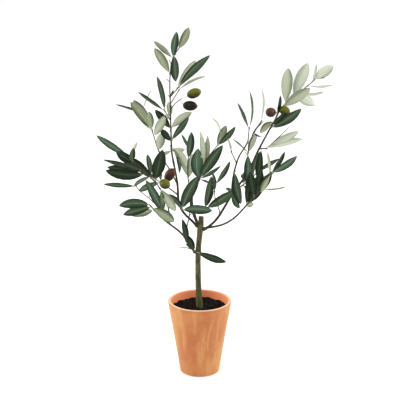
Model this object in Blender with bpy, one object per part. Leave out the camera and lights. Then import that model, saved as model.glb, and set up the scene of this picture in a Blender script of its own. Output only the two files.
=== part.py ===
"""A potted olive tree, about 0.67 m tall: clay pot, potting mix, trunk, boughs and leafy sprays.

Lengths are millimetres and angles are degrees. Objects are made in metres, +Z up, with the
origin at the centre of the pot's underside and the front of the plant facing -Y.
A heading is read from the front, anticlockwise from the right. A lean is towards the front.
"""

import math
import random
from typing import NamedTuple

import bmesh
import bpy
from mathutils import Matrix, Vector
from mathutils.bvhtree import BVHTree

METRES = 0.001
CLEARANCE = 0.3

# The clay pot, a plain taper with a rounded lip
POT_HEIGHT = 145.0
RIM_RADIUS = 61.0
FOOT_RADIUS = 38.0
WALL = 6.5
FLOOR = 8.0
LIP_ROUND = 3.0
FOOT_ROUND = 3.0
POT_SEGMENTS = 48

# The potting mix fills the pot to a little below its rim
SOIL_DEPTH_BELOW_RIM = 16.0
SOIL_GAP = 0.6
SOIL_LUMP = 1.6
SOIL_LEVEL_SPOT = 10.0
SOIL_RINGS = 5
SOIL_SEGMENTS = 32

# Leaves: folded blades on a short stalk
LEAF_STATIONS = (0.0, 0.08, 0.32, 0.60, 0.86)
LEAF_STALK_SHARE = 0.06
LEAF_STALK_WIDTH = 1.5
LEAF_THICKNESS = 1.1
LEAF_WIDTH_SHARE = 0.24
LEAF_WIDTH_SPREAD = (0.9, 1.1)
LEAF_BELLY = 0.9
LEAF_FULLNESS = 0.7
LEAF_FOLD = 16.0
LEAF_CURL = (8.0, 26.0)
LEAF_WAVER = 8.0

# Pairs grown by the seeded rule
PAIR_LENGTH = (46.0, 60.0)
PAIR_ANGLE = (28.0, 44.0)
PAIR_TURN = (65.0, 100.0)
PAIR_FACE = (-60.0, 60.0)

# Olives hang on thin stalks
OLIVE_LENGTH = 27.0
OLIVE_WIDTH = 18.5
OLIVE_SIDES = 8
OLIVE_RINGS = 4
OLIVE_STALK_RADIUS = 0.8
OLIVE_STALK_SINK = 2.0

TRUNK_SIDES = 12
BOUGH_SIDES = 7
TWIG_SIDES = 3
TWIG_TIP_RADIUS = 0.75
TRUNK_STEP = 18.0
BOUGH_STEP = 15.0
TWIG_STEP = 13.0


class Leaf(NamedTuple):
    """One leaf: where its stalk joins the twig, which way it points, and how its blade is turned.

    A face of 0 shows the dark upper side to the front, 180 the pale underside, 90 the edge.
    A positive sweep turns the blade clockwise, seen from the front, as it grows.
    """

    at: float
    heading: float
    lean: float
    length: float
    face: float
    width: float = 0.0
    sweep: float = 0.0


class Olive(NamedTuple):
    """One olive at the end of a stalk that leaves the twig."""

    at: float
    headings: tuple
    leans: tuple
    stalk: float
    heading: float
    lean: float


class Pairs(NamedTuple):
    """Opposite pairs of leaves by the seeded rule, each pair turned on from the last."""

    first: float
    step: float
    last: float


class Twig(NamedTuple):
    """A stem inside a spray. A side twig joins the spray's first stem at `at`."""

    at: float
    headings: tuple
    leans: tuple
    length: float
    radius: float
    leaves: tuple = ()
    olives: tuple = ()
    pairs: Pairs | None = None


class Bough(NamedTuple):
    """A bare tapering limb that starts on the side of another one."""

    on: str
    at: float
    headings: tuple
    leans: tuple
    length: float
    radii: tuple


class Spray(NamedTuple):
    """A mass of leaves on one stem. It starts at its bough's tip, or at `at` on its side."""

    on: str
    at: float
    twigs: tuple


TIP = -1.0
TRUNK = Bough(
    "ground", 0.0, (94, 93, 91, 90, 86, 84, 87), (0, 0), 188.0, (6.9, 5.7, 5.5, 5.3, 5.2, 5.5, 4.9)
)
BOUGHS = {
    "left_low_bough": Bough(
        "trunk", 113.0, (122, 124, 133, 136, 134, 120, 127), (8, 13, 15, 26, 29, 28, 25), 134.0,
        (2.3, 1.4),
    ),
    "left_leader_bough": Bough(
        "trunk", 166.0, (126, 134, 114, 88, 94, 99, 100), (8, 9, 4, -6, -10, -12, -12), 156.0,
        (2.4, 1.7),
    ),
    "centre_bough": Bough(
        "trunk", 170.0, (112, 108, 95, 83, 79, 78), (16, 8, 10, 14, 16), 100.0, (1.8, 1.4)
    ),
    "right_leader_bough": Bough(
        "trunk", 158.0, (36, 48, 60, 59, 52, 42, 54, 68, 68, 57, 62, 57),
        (-14, -10, -11, -11, -12, -14, -15, -15, -16, -17, -17, -20), 231.0, (2.5, 1.6),
    ),
    "right_low_bough": Bough(
        "trunk", 162.0, (22, 18, 34, 45, 56, 55), (24, 27, 30, 28, 27, 28), 114.0, (2.1, 1.5)
    ),
    "right_inner_bough": Bough(
        "right_leader_bough", 87.0, (84, 86, 84, 76, 60, 64), (26, 22, 24, 20, 26, 25), 133.0,
        (1.6, 1.3),
    ),
    "back_bough": Bough(
        "trunk", 182.0, (95, 95, 93, 90), (-60, -44, -40, -40), 92.0, (1.8, 1.4)
    ),
}
SPRAYS = {
    "trunk_sprig": Spray("trunk", 115.0, (
        Twig(0, (135, 128), (62, 15), 40, 1.6, (
            Leaf(3, -16, 12, 54, 15, 14),
            Leaf(10, 178, 5, 34, 95),
            Leaf(13, 118, 24, 54, 15, 14),
            Leaf(37, 102, 16, 54, 30, 12),
        )),
    )),
    "fork_spray": Spray("left_leader_bough", 46.0, (
        Twig(0, (100,), (75,), 11, 1.6, (
            Leaf(8, 1, 7, 62, 10, 17),
            Leaf(9, 62, 17, 84, 10, 20),
            Leaf(6, 112, 25, 47, 30, 13, 25),
        )),
    )),
    "left_low_spray": Spray("left_low_bough", TIP, (
        Twig(0, (120, 125), (22, 22), 17, 1.4, (
            Leaf(14, 180, 11, 63, 15, 16, -45),
            Leaf(10, 189, 16, 55, 18, 14, -15),
            Leaf(3, 190, -14, 44, 168, 14),
            Leaf(12, -33, 28, 56, 155, 18, 10),
        )),
    )),
    "left_low_twig": Spray("left_low_bough", 100.0, (
        Twig(0, (98, 112, 131, 124, 138, 125, 107), (18, 24, 29, 28, 25, 20), 118, 1.2, (
            Leaf(114, 172, 5, 55, 50, 15),
            Leaf(6, 116, 19, 80, 165, 15),
        )),
    )),
    "left_cluster": Spray("left_low_bough", 88.0, (
        Twig(0, (88, 100, 112, 122, 137, 127, 118), (9, 14, 17, 21, 25, 24, 15), 178, 1.5, (
            Leaf(80, -56, 29, 50, 165, 14),
            Leaf(98, 100, -12, 44, 25, 12),
            Leaf(94, 80, 8, 66, 8, 25),
            Leaf(104, 127, 12, 66, 15, 18),
            Leaf(122, 160, 16, 72, 10, 20),
            Leaf(127, 173, -14, 64, 20, 15),
            Leaf(134, 147, 35, 50, 30, 14),
            Leaf(156, 132, 18, 52, 15, 18),
            Leaf(157, 168, -12, 55, 78),
            Leaf(158, 80, 30, 40, 35, 12),
            Leaf(161, 78, -10, 54, 60, 0, 45),
            Leaf(174, 142, 8, 71, 15, 16, -12),
        ), (
            Olive(93, (15, -5), (10, 25), 20, 10, 65),
        )),
    )),
    "left_fruit_twig": Spray("left_leader_bough", 136.0, (
        Twig(0, (-75,), (60,), 11, 1.2, (), (
            Olive(10, (-122,), (16,), 5, -122, 14),
        )),
    )),
    "left_side_spray": Spray("left_leader_bough", 98.0, (
        Twig(0, (118, 128, 136, 121, 110, 113, 119, 111), (-44, -46, -50, -42, -43, -41, -34, -31),
             182, 1.4, (
            Leaf(88, 80, -4, 46, 172, 17),
            Leaf(132, 98, 8, 38, 168, 13),
            Leaf(142, 128, -18, 62, 165, 17, 12),
            Leaf(144, 134, -22, 44, 20, 13),
            Leaf(146, 122, -4, 58, 172, 19, -10),
            Leaf(170, 162, -14, 50, 82),
            Leaf(180, 64, -3, 39, 82),
        )),
    )),
    "left_leader_spray": Spray("left_leader_bough", TIP, (
        Twig(0, (99, 90, 95, 95, 92, 92, 94, 90, 82, 84, 68, 65), (-15, -18, -17, -15, -14, -10),
             197, 1.7, (
            Leaf(4, 14, -58, 46, 140, 12, 20),
            Leaf(4, 222, -52, 44, 120),
            Leaf(10, -57, 6, 48, 155, 12, 55),
            Leaf(12, -72, -25, 48, 100, 0, 50),
            Leaf(22, 128, -4, 36, 15, 14),
            Leaf(24, 58, 8, 57, 30, 14, 10),
            Leaf(41, 123, 7, 54, 15, 15),
            Leaf(48, 41, -8, 52, 160, 14, 25),
            Leaf(71, 225, 20, 46, 165, 14),
            Leaf(74, 97, -16, 38, 168, 14),
            Leaf(122, 65, 15, 14, 30, 5),
            Leaf(146, 120, 3, 62, 165, 17, 8),
            Leaf(178, 139, -3, 48, 115, 10),
            Leaf(178, 79, 0, 48, 20, 13),
            Leaf(187, 275, 30, 52, 12, 17),
            Leaf(195, 64, -5, 46, 165, 14),
        )),
        Twig(60, (120,), (-2,), 24, 1.1, (
            Leaf(21, 100, 3, 70, 40, 14),
            Leaf(22, 141, 0, 64, 55, 12, -12),
        )),
        Twig(113, (50,), (0,), 21, 1.0, (
            Leaf(19, 44, -1, 84, 35, 18, 15),
        )),
        Twig(104, (57,), (-6,), 26, 1.0, (
            Leaf(24, 24, -4, 56, 108, 12, 25),
        )),
        Twig(80, (62, 36), (6, 6), 28, 1.0, (), (
            Olive(27, (28,), (0,), 14, 20, 0),
            Olive(27, (-58,), (8,), 13, -3, 5),
        )),
    )),
    "centre_left_spray": Spray("left_low_bough", 40.0, (
        Twig(0, (78, 75, 88, 96, 97, 86, 84), (-34, -20, -17, -20, -15, -18, -15), 165, 1.3, (
            Leaf(84, 62, -25, 52, 30, 15),
            Leaf(108, 84, -6, 46, 160, 11),
            Leaf(118, 128, -20, 44, 150, 12),
            Leaf(145, 83, 3, 60, 15, 16),
            Leaf(162, 117, -22, 50, 50),
        )),
    )),
    "centre_front_spray": Spray("centre_bough", TIP, (
        Twig(0, (78, 75), (14, 14), 16, 1.4, (
            Leaf(1, 82, 9, 72, 20, 18),
            Leaf(2, 58, 7, 80, 10, 19),
            Leaf(3, 34, -18, 46, 55),
            Leaf(13, 90, -3, 76, 120, 13),
            Leaf(13, 74, -8, 70, 115, 13),
            Leaf(10, 68, -35, 56, 20, 15),
        )),
    )),
    "trunk_tip_spray": Spray("trunk", TIP, (
        Twig(0, (70, 50), (35, 45), 15, 1.9, (
            Leaf(10, 76, 10, 68, 25, 13),
            Leaf(12, 36, 13, 78, 15, 18),
            Leaf(8, 60, -8, 58, 35, 13),
        )),
    )),
    "centre_right_spray": Spray("right_leader_bough", 44.0, (
        Twig(0, (112, 120, 100, 86, 80), (42, 38, 35, 32, 30), 96, 1.2, (
            Leaf(88, 56, 8, 55, 35, 13),
            Leaf(90, 122, 30, 36, 60),
            Leaf(62, 72, 20, 46, 30, 12),
        )),
    )),
    "right_fork_spray": Spray("right_leader_bough", 90.0, (
        Twig(0, (100,), (60,), 9, 1.3, (
            Leaf(7, -58, 26, 44, 20, 15),
            Leaf(7, 150, 45, 34, 40),
        )),
    )),
    "right_inner_leaf": Spray("right_inner_bough", 58.0, (
        Twig(0, (75,), (60,), 8, 1.3, (
            Leaf(6, -76, 18, 66, 15, 18),
        )),
    )),
    "right_inner_twig": Spray("right_inner_bough", 78.0, (
        Twig(0, (125,), (-20,), 18, 1.1, (
            Leaf(16, 104, -18, 38, 70),
        )),
    )),
    "right_inner_spray": Spray("right_inner_bough", TIP, (
        Twig(0, (85, 88), (20, 20), 31, 1.2, (
            Leaf(29, 114, 8, 54, 62, 12, 12),
            Leaf(29, 89, -2, 70, 62, 13, -35),
        )),
    )),
    "right_back_leaves": Spray("right_leader_bough", 190.0, (
        Twig(0, (10,), (25,), 12, 1.3, (
            Leaf(2, -88, 18, 64, 15, 16),
            Leaf(10, 22, -12, 74, 150, 14),
            Leaf(11, 12, -11, 74, 160, 14, -12),
            Leaf(11, 42, -9, 54, 86),
        )),
    )),
    "right_mid_spray": Spray("right_leader_bough", 143.0, (
        Twig(0, (102, 90, 86, 76, 62, 57), (34, 24, 21, 15, 8, 5), 117, 1.2, (
            Leaf(33, -88, 8, 56, 20, 16),
            Leaf(34, 73, 0, 40, 168, 12),
            Leaf(36, 137, -14, 42, 85),
            Leaf(62, 56, 0, 50, 62),
            Leaf(66, 20, -25, 30, 50, 8),
            Leaf(115, 92, -5, 62, 86),
        )),
    )),
    "right_leader_spray": Spray("right_leader_bough", TIP, (
        Twig(0, (53, 66, 45, 32, 33, 37), (-19, -18, -20, -24, -24, -23), 133, 1.6, (
            Leaf(3, 38, 4, 68, 12, 16),
            Leaf(10, 55, 32, 44, 20, 13),
            Leaf(18, 214, 38, 42, 155, 15),
            Leaf(32, 73, 12, 36, 45, 10),
            Leaf(56, 36, 6, 58, 168, 18),
            Leaf(58, 84, -2, 62, 174, 20),
            Leaf(78, 67, -3, 68, 174, 24),
            Leaf(88, -20, -36, 52, 165, 14),
            Leaf(98, 4, -20, 52, 80),
            Leaf(108, 4, -8, 56, 82),
            Leaf(127, 72, -20, 38, 75),
            Leaf(132, 38, -15, 46, 165, 18),
        ), (
            Olive(33, (165,), (40,), 12, 150, 60),
            Olive(46, (-15,), (40,), 7, -20, 60),
        )),
    )),
    "right_low_spray": Spray("right_low_bough", TIP, (
        Twig(0, (56, 54, 58, 62, 69), (28, 27, 27, 24, 23), 96, 1.5, (
            Leaf(2, 84, 10, 67, 20, 15),
            Leaf(4, 14, -58, 36, 150, 12),
            Leaf(6, 60, 13, 68, 10, 20),
            Leaf(26, 74, -8, 58, 30, 15),
            Leaf(30, 100, 5, 52, 25, 14),
            Leaf(44, 62, 6, 50, 15, 15),
            Leaf(58, 6, -12, 48, 87),
            Leaf(88, 96, 10, 40, 112),
            Leaf(91, 51, -13, 46, 68),
            Leaf(92, 234, 20, 38, 160, 13),
            Leaf(95, 37, 8, 56, 15, 16),
        )),
    )),
    "back_spray": Spray("back_bough", TIP, (
        Twig(0, (80, 57, 44, 40), (-40, -40, -45, -44), 78, 1.5, (
            Leaf(72, 62, -5, 46, 172, 16),
            Leaf(75, 47, 2, 50, 20, 14),
            Leaf(74, 102, -22, 66, 78, 0, -40),
            Leaf(8, 104, -20, 54, 40),
            Leaf(28, 112, -10, 50, 150),
        )),
    )),
    "left_back_spray": Spray("left_leader_bough", 76.0, (
        Twig(0, (150, 145, 150, 158), (-60, -60, -56, -50), 122, 1.5, (), (), Pairs(50, 18, 122)),
    )),
    "right_far_spray": Spray("right_leader_bough", 98.0, (
        Twig(0, (5, 18, 28, 32), (-58, -56, -53, -50), 106, 1.5, (), (), Pairs(44, 19, 104)),
    )),
}

CLAY = ("clay", (0.68, 0.30, 0.15), 0.85)
SOIL = ("potting_mix", (0.020, 0.014, 0.010), 0.95)
BARK = ("bark", (0.125, 0.098, 0.050), 0.80)
FOLIAGE = ("foliage", (0.045, 0.085, 0.045), 0.60)


def between(values, share):
    """The value at a share of the way along evenly spaced values."""
    if len(values) == 1:
        return values[0]
    place = share * (len(values) - 1)
    low = min(int(place), len(values) - 2)
    return values[low] + (values[low + 1] - values[low]) * (place - low)


def direction(heading, lean):
    """The unit vector of a heading seen from the front and a lean towards the front."""
    across, towards = math.radians(heading), math.radians(lean)
    return Vector(
        (
            math.cos(across) * math.cos(towards),
            -math.sin(towards),
            math.sin(across) * math.cos(towards),
        )
    )


class Limb:
    """A stem's centre line, grown in equal steps along a smoothly turning direction."""

    def __init__(self, start, headings, leans, length, radii, step):
        self.length = length
        self.radii = radii
        count = max(2, round(length / step))
        self.points = [Vector(start)]
        for index in range(count):
            share = (index + 0.5) / count
            ahead = direction(between(headings, share), between(leans, share))
            self.points.append(self.points[-1] + ahead * (length / count))

    def place(self, distance):
        """(point, direction, radius) at a distance from the base."""
        share = min(max(distance / self.length, 0.0), 1.0) * (len(self.points) - 1)
        low = min(int(share), len(self.points) - 2)
        span = self.points[low + 1] - self.points[low]
        radius = between(self.radii, share / (len(self.points) - 1))
        return self.points[low] + span * (share - low), span.normalized(), radius

    def tangent(self, index):
        """The direction at one of the centre line's points."""
        before = self.points[max(index - 1, 0)]
        after = self.points[min(index + 1, len(self.points) - 1)]
        return (after - before).normalized()


def skin(rings, end_point=None):
    """(points, faces) of a closed skin over rings of equal size, with a flat or a pointed end."""
    size = len(rings[0])
    points = [point for ring in rings for point in ring]
    faces = [tuple(reversed(range(size)))]
    for ring in range(len(rings) - 1):
        for side in range(size):
            here, beside = ring * size + side, ring * size + (side + 1) % size
            faces.append((here, beside, beside + size, here + size))
    last = (len(rings) - 1) * size
    if end_point is None:
        faces.append(tuple(range(last, last + size)))
    else:
        points.append(end_point)
        faces += [(last + side, last + (side + 1) % size, len(points) - 1) for side in range(size)]
    return points, faces


def tube(limb, sides, level_foot=False):
    """The skin of a tapering limb, with its rings turned no more than its bends need."""
    ahead = limb.tangent(0)
    across = ahead.orthogonal().normalized()
    rings = []
    for index, centre in enumerate(limb.points):
        turn = ahead.rotation_difference(limb.tangent(index))
        ahead = limb.tangent(index)
        across = (turn @ across).normalized()
        up = ahead.cross(across)
        radius = between(limb.radii, index / (len(limb.points) - 1))
        angles = [math.tau * side / sides for side in range(sides)]
        rings.append(
            [centre + (across * math.cos(a) + up * math.sin(a)) * radius for a in angles]
        )
    if level_foot:
        for point in rings[0]:
            point.z = limb.points[0].z
    return skin(rings)


class Blade(NamedTuple):
    """A leaf's own variation, drawn once from its spray's seed."""

    width: float
    curl: float
    sweep: float


def draw_blade(leaf, dice):
    """Width, curl and sideways sweep by the seeded rule, around what the leaf states."""
    width = dice.uniform(*LEAF_WIDTH_SPREAD) * LEAF_WIDTH_SHARE * leaf.length
    curl = dice.uniform(*LEAF_CURL)
    waver = dice.uniform(-LEAF_WAVER, LEAF_WAVER)
    return Blade(leaf.width or width, curl, leaf.sweep + waver)


def leaf_shape(base, leaf, blade, margin=0.0):
    """The skin of a leaf: a folded blade whose four-sided section tapers to the tip."""
    axis = direction(leaf.heading, leaf.lean)
    front = Vector((0, -1, 0))
    facing = (front - axis * front.dot(axis)).normalized()
    across = axis.cross(facing)
    fold = math.radians(LEAF_FOLD)

    def frame(share):
        """(ahead, side, up) of the blade at a share of its length."""
        swing = math.radians(blade.sweep) * (share - 0.5)
        chord = axis * math.cos(swing) + across * math.sin(swing)
        normal = Matrix.Rotation(math.radians(leaf.face), 3, chord) @ facing
        bend = math.radians(blade.curl) * (share - 0.5)
        ahead = chord * math.cos(bend) - normal * math.sin(bend)
        up = normal * math.cos(bend) + chord * math.sin(bend)
        return ahead, ahead.cross(up), up

    point = Vector(base)
    rings = []
    for share, following in zip(LEAF_STATIONS, (*LEAF_STATIONS[1:], 1.0)):
        _, side, up = frame(share)
        inner = max(share - LEAF_STALK_SHARE, 0.0) / (1 - LEAF_STALK_SHARE)
        swell = math.sin(math.pi * inner**LEAF_BELLY) ** LEAF_FULLNESS
        half = 0.5 * max(blade.width * swell, LEAF_STALK_WIDTH) + margin
        thick = up * (0.5 * LEAF_THICKNESS + margin)
        lift = up * half * math.sin(fold)
        edge = side * half * math.cos(fold)
        rings.append([point + thick, point + edge + lift, point - thick, point - edge + lift])
        ahead, _, _ = frame((share + following) / 2)
        point = point + ahead * (following - share) * (leaf.length + margin)
    return skin(rings, point)


def olive_shape(centre, along, margin=0.0):
    """The skin of an olive, an egg-like solid of revolution about its long axis."""
    across = along.orthogonal().normalized()
    up = along.cross(across)
    rings = []
    for ring in range(OLIVE_RINGS):
        polar = math.pi * (ring + 0.5) / OLIVE_RINGS
        middle = centre - along * math.cos(polar) * OLIVE_LENGTH / 2
        radius = math.sin(polar) * OLIVE_WIDTH / 2 + margin
        angles = [math.tau * side / OLIVE_SIDES for side in range(OLIVE_SIDES)]
        rings.append([middle + (across * math.cos(a) + up * math.sin(a)) * radius for a in angles])
    return skin(rings)


def lathe(profile, segments):
    """The skin of a profile of (radius, height) turned about the pot's axis, closed at both ends."""
    rings = []
    for radius, height in profile:
        angles = [math.tau * step / segments for step in range(segments)]
        rings.append([Vector((radius * math.cos(a), radius * math.sin(a), height)) for a in angles])
    return skin(rings)


def make_object(name, shape, finish):
    """An object in metres from a skin in millimetres, with one material."""
    points, faces = shape
    mesh = bpy.data.meshes.new(name)
    mesh.from_pydata([point * METRES for point in points], [], faces)
    mesh.validate()
    made = bpy.data.objects.new(name, mesh)
    bpy.context.scene.collection.objects.link(made)
    made.data.materials.append(material(*finish))
    return made


def material(name, colour, roughness):
    """A Principled material, made once for each finish."""
    found = bpy.data.materials.get(name)
    if found:
        return found
    made = bpy.data.materials.new(name)
    made.use_nodes = True
    shader = made.node_tree.nodes["Principled BSDF"]
    shader.inputs["Base Color"].default_value = (*colour, 1)
    shader.inputs["Roughness"].default_value = roughness
    shader.inputs["Metallic"].default_value = 0
    return made


def keep_largest(mesh):
    """Drops loose scraps, and the skins of hollows sealed by joining, which fills them."""
    work = bmesh.new()
    work.from_mesh(mesh)
    waiting = set(work.faces)
    islands = []
    while waiting:
        front = [waiting.pop()]
        island = set(front)
        while front:
            beside = {other for side in front.pop().edges for other in side.link_faces}
            front += beside - island
            island |= beside
        waiting -= island
        islands.append(island)
    islands.sort(key=len)
    scraps = [face for island in islands[:-1] for face in island]
    bmesh.ops.delete(work, geom=scraps, context="FACES")
    work.to_mesh(mesh)
    work.free()


def unite(name, shapes, finish):
    """One closed object: the first shape with the others joined to it by a Boolean union."""
    body = make_object(name, shapes[0], finish)
    others = bpy.data.collections.new(name + "_pieces")
    bpy.context.scene.collection.children.link(others)
    for shape in shapes[1:]:
        piece = make_object(name + "_piece", shape, finish)
        bpy.context.scene.collection.objects.unlink(piece)
        others.objects.link(piece)
    join = body.modifiers.new("join", "BOOLEAN")
    join.operation = "UNION"
    join.operand_type = "COLLECTION"
    join.collection = others
    join.solver = "EXACT"
    graph = bpy.context.evaluated_depsgraph_get()
    joined = bpy.data.meshes.new_from_object(body.evaluated_get(graph))
    body.modifiers.clear()
    keep_largest(joined)
    body.data = joined
    for piece in list(others.objects):
        bpy.data.objects.remove(piece)
    bpy.data.collections.remove(others)


def tree_of(shape):
    """A search tree over a skin, to test what it would touch."""
    points, faces = shape
    return BVHTree.FromPolygons(points, faces)


def seat_on_side(parent, at, ahead, radius):
    """Where a limb's base sits just clear of its parent's side."""
    centre, along, parent_radius = parent.place(at)
    outward = (ahead - along * ahead.dot(along)).normalized()
    tilt = math.sqrt(max(0.0, 1 - ahead.dot(outward) ** 2))
    return centre + outward * (parent_radius + CLEARANCE + radius * tilt)


def seat_on_tip(parent, ahead, radius):
    """Where a stem's base sits just clear of its bough's tip."""
    tip, along, _ = parent.place(parent.length)
    tilt = math.sqrt(max(0.0, 1 - ahead.dot(along) ** 2))
    return tip + along * (CLEARANCE + radius * tilt)


def seat(parent, at, ahead, radius):
    """The base of a limb or stem on its parent."""
    if at == TIP:
        return seat_on_tip(parent, ahead, radius)
    return seat_on_side(parent, at, ahead, radius)


def inner_radius(height):
    """The radius of the pot's inside at a height."""
    return RIM_RADIUS - WALL - (POT_HEIGHT - height) * (RIM_RADIUS - FOOT_RADIUS) / POT_HEIGHT


def quarter_round(radius, height, size, angles):
    """Points of (radius, height) on a rounded edge about its centre, at angles from outwards."""
    turns = [math.radians(angle) for angle in angles]
    return [(radius + size * math.cos(a), height + size * math.sin(a)) for a in turns]


def build_pot():
    """The pot: outside from the foot up, over the rounded lip, down the inside to its floor."""
    outer = quarter_round(RIM_RADIUS - LIP_ROUND, POT_HEIGHT - LIP_ROUND, LIP_ROUND, (0, 45, 90))
    inner = quarter_round(
        RIM_RADIUS - WALL + LIP_ROUND, POT_HEIGHT - LIP_ROUND, LIP_ROUND, (90, 135, 180)
    )
    foot = quarter_round(FOOT_RADIUS - FOOT_ROUND, FOOT_ROUND, FOOT_ROUND, (-90, -45, 0))
    profile = [*foot, *outer, *inner, (inner_radius(FLOOR), FLOOR)]
    make_object("pot", lathe(profile, POT_SEGMENTS), CLAY)


def build_soil(level):
    """The potting mix: its underside, its side just clear of the pot, and a lumpy top."""
    dice = random.Random("potting mix")
    lowest = FLOOR + CLEARANCE
    edge = inner_radius(level) - SOIL_GAP
    circles = [(inner_radius(lowest) - SOIL_GAP, lowest, 0.0), (edge, level, 0.0)]
    for ring in range(1, SOIL_RINGS):
        radius = edge + (SOIL_LEVEL_SPOT - edge) * ring / SOIL_RINGS
        circles.append((radius, level, SOIL_LUMP))
    circles.append((SOIL_LEVEL_SPOT, level, 0.0))
    angles = [math.tau * step / SOIL_SEGMENTS for step in range(SOIL_SEGMENTS)]
    rings = []
    for radius, height, lump in circles:
        heights = [height + dice.uniform(-lump, lump) for _ in angles]
        rings.append(
            [
                Vector((radius * math.cos(a), radius * math.sin(a), up))
                for a, up in zip(angles, heights)
            ]
        )
    make_object("potting_mix", skin(rings), SOIL)


def paired_leaves(stem, pairs, dice):
    """Leaves in opposite pairs along a stem, each pair turned on from the last."""
    turn = dice.uniform(0, 180)
    at = pairs.first
    leaves = []
    while at <= pairs.last:
        _, along, _ = stem.place(at)
        across = Matrix.Rotation(math.radians(turn), 3, along) @ along.orthogonal().normalized()
        for side in (across, -across):
            spread = math.radians(dice.uniform(*PAIR_ANGLE))
            ahead = along * math.cos(spread) + side * math.sin(spread)
            heading = math.degrees(math.atan2(ahead.z, ahead.x))
            lean = math.degrees(math.asin(-ahead.y))
            length = dice.uniform(*PAIR_LENGTH)
            leaves.append(Leaf(at, heading, lean, length, dice.uniform(*PAIR_FACE)))
        turn += dice.uniform(*PAIR_TURN)
        at += pairs.step
    return leaves


def stands_clear(shape, placed):
    """Whether a skin, grown by the clearance, touches none of the pieces already placed."""
    tree = tree_of(shape)
    return not any(tree.overlap(other) for other in placed)


def grow_leaves(stem, leaves, dice, placed):
    """The skins of a twig's leaves, without any that would touch another piece."""
    shapes = []
    for leaf in leaves:
        base = stem.place(leaf.at)[0]
        blade = draw_blade(leaf, dice)
        if stands_clear(leaf_shape(base, leaf, blade, CLEARANCE), placed):
            shapes.append(leaf_shape(base, leaf, blade))
    return shapes


def grow_olives(stem, olives, placed):
    """The skins of a twig's olives and their stalks, without any that would touch another piece."""
    shapes = []
    for olive in olives:
        base = stem.place(olive.at)[0]
        radii = (OLIVE_STALK_RADIUS, OLIVE_STALK_RADIUS)
        stalk = Limb(base, olive.headings, olive.leans, olive.stalk, radii, TWIG_STEP)
        along = direction(olive.heading, olive.lean)
        centre = stalk.points[-1] + along * (OLIVE_LENGTH / 2 - OLIVE_STALK_SINK)
        if stands_clear(olive_shape(centre, along, CLEARANCE), placed):
            shapes += [tube(stalk, TWIG_SIDES), olive_shape(centre, along)]
    return shapes


def build_spray(name, spray, limbs, placed):
    """One mass: its stem, its side twigs, and their leaves and olives, joined."""
    dice = random.Random(name)
    shapes = []
    first = None
    for twig in spray.twigs:
        if first:
            start = first.place(twig.at)[0]
        else:
            ahead = direction(twig.headings[0], twig.leans[0])
            start = seat(limbs[spray.on], spray.at, ahead, twig.radius)
        radii = (twig.radius, TWIG_TIP_RADIUS)
        stem = Limb(start, twig.headings, twig.leans, twig.length, radii, TWIG_STEP)
        first = first or stem
        leaves = list(twig.leaves)
        if twig.pairs:
            leaves += paired_leaves(stem, twig.pairs, dice)
        shapes.append(tube(stem, TWIG_SIDES))
        shapes += grow_leaves(stem, leaves, dice, placed)
        shapes += grow_olives(stem, twig.olives, placed)
    unite(name, shapes, FOLIAGE)
    placed += [tree_of(shape) for shape in shapes]


def main():
    for thing in list(bpy.data.objects):
        bpy.data.objects.remove(thing)
    build_pot()
    level = POT_HEIGHT - SOIL_DEPTH_BELOW_RIM
    build_soil(level)
    foot = Vector((0, 0, level + CLEARANCE))
    trunk = Limb(foot, TRUNK.headings, TRUNK.leans, TRUNK.length, TRUNK.radii, TRUNK_STEP)
    trunk_shape = tube(trunk, TRUNK_SIDES, level_foot=True)
    make_object("trunk", trunk_shape, BARK)
    limbs = {"trunk": trunk}
    placed = [tree_of(trunk_shape)]
    for name, bough in BOUGHS.items():
        ahead = direction(bough.headings[0], bough.leans[0])
        start = seat(limbs[bough.on], bough.at, ahead, bough.radii[0])
        limb = Limb(start, bough.headings, bough.leans, bough.length, bough.radii, BOUGH_STEP)
        make_object(name, tube(limb, BOUGH_SIDES), BARK)
        limbs[name] = limb
        placed.append(tree_of(tube(limb, BOUGH_SIDES)))
    for name, spray in SPRAYS.items():
        build_spray(name, spray, limbs, placed)


main()
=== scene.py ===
# %% [markdown]
# A potted olive tree, about 0.67 m tall.
# It is an artificial plant of the kind that stands on a sideboard or a patio table: a plain clay
# pot, dark potting mix, one bare stem, thin boughs, and sparse sprays of leaves with a few olives.
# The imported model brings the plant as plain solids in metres, +Z up, with its front facing -Y.
# This script keeps their places and sizes and dresses them: it grows the same limbs and leaves
# again by the same rule, only finer, and gives each surface its colour and relief.
# Lengths are written in millimetres and turned into metres when a mesh is made.

import itertools
import math
import random
from typing import NamedTuple

import bpy
import numpy as np
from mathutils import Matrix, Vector


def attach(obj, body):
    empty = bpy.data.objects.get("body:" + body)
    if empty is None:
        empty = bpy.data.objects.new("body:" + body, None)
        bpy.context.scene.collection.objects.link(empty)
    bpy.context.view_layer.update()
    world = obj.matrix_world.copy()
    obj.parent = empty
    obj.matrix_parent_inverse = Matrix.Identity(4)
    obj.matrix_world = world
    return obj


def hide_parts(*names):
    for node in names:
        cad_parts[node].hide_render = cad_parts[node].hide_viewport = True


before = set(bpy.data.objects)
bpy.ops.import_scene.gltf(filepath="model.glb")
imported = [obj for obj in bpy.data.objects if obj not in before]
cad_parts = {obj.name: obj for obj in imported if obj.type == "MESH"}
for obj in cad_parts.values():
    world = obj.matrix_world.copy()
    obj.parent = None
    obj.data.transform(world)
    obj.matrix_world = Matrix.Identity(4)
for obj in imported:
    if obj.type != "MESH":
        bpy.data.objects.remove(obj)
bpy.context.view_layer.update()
METRES = 0.001
print("packed nodes:", len(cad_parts))

# %% [markdown]
# The camera looks slightly down on the plant from straight in front, from about 3 m away, with a
# long lens. A long lens keeps the pot's sides and the crown's spread in their true proportions.
# Its place is worked out from the point it looks at, its distance and its downward pitch.

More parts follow.
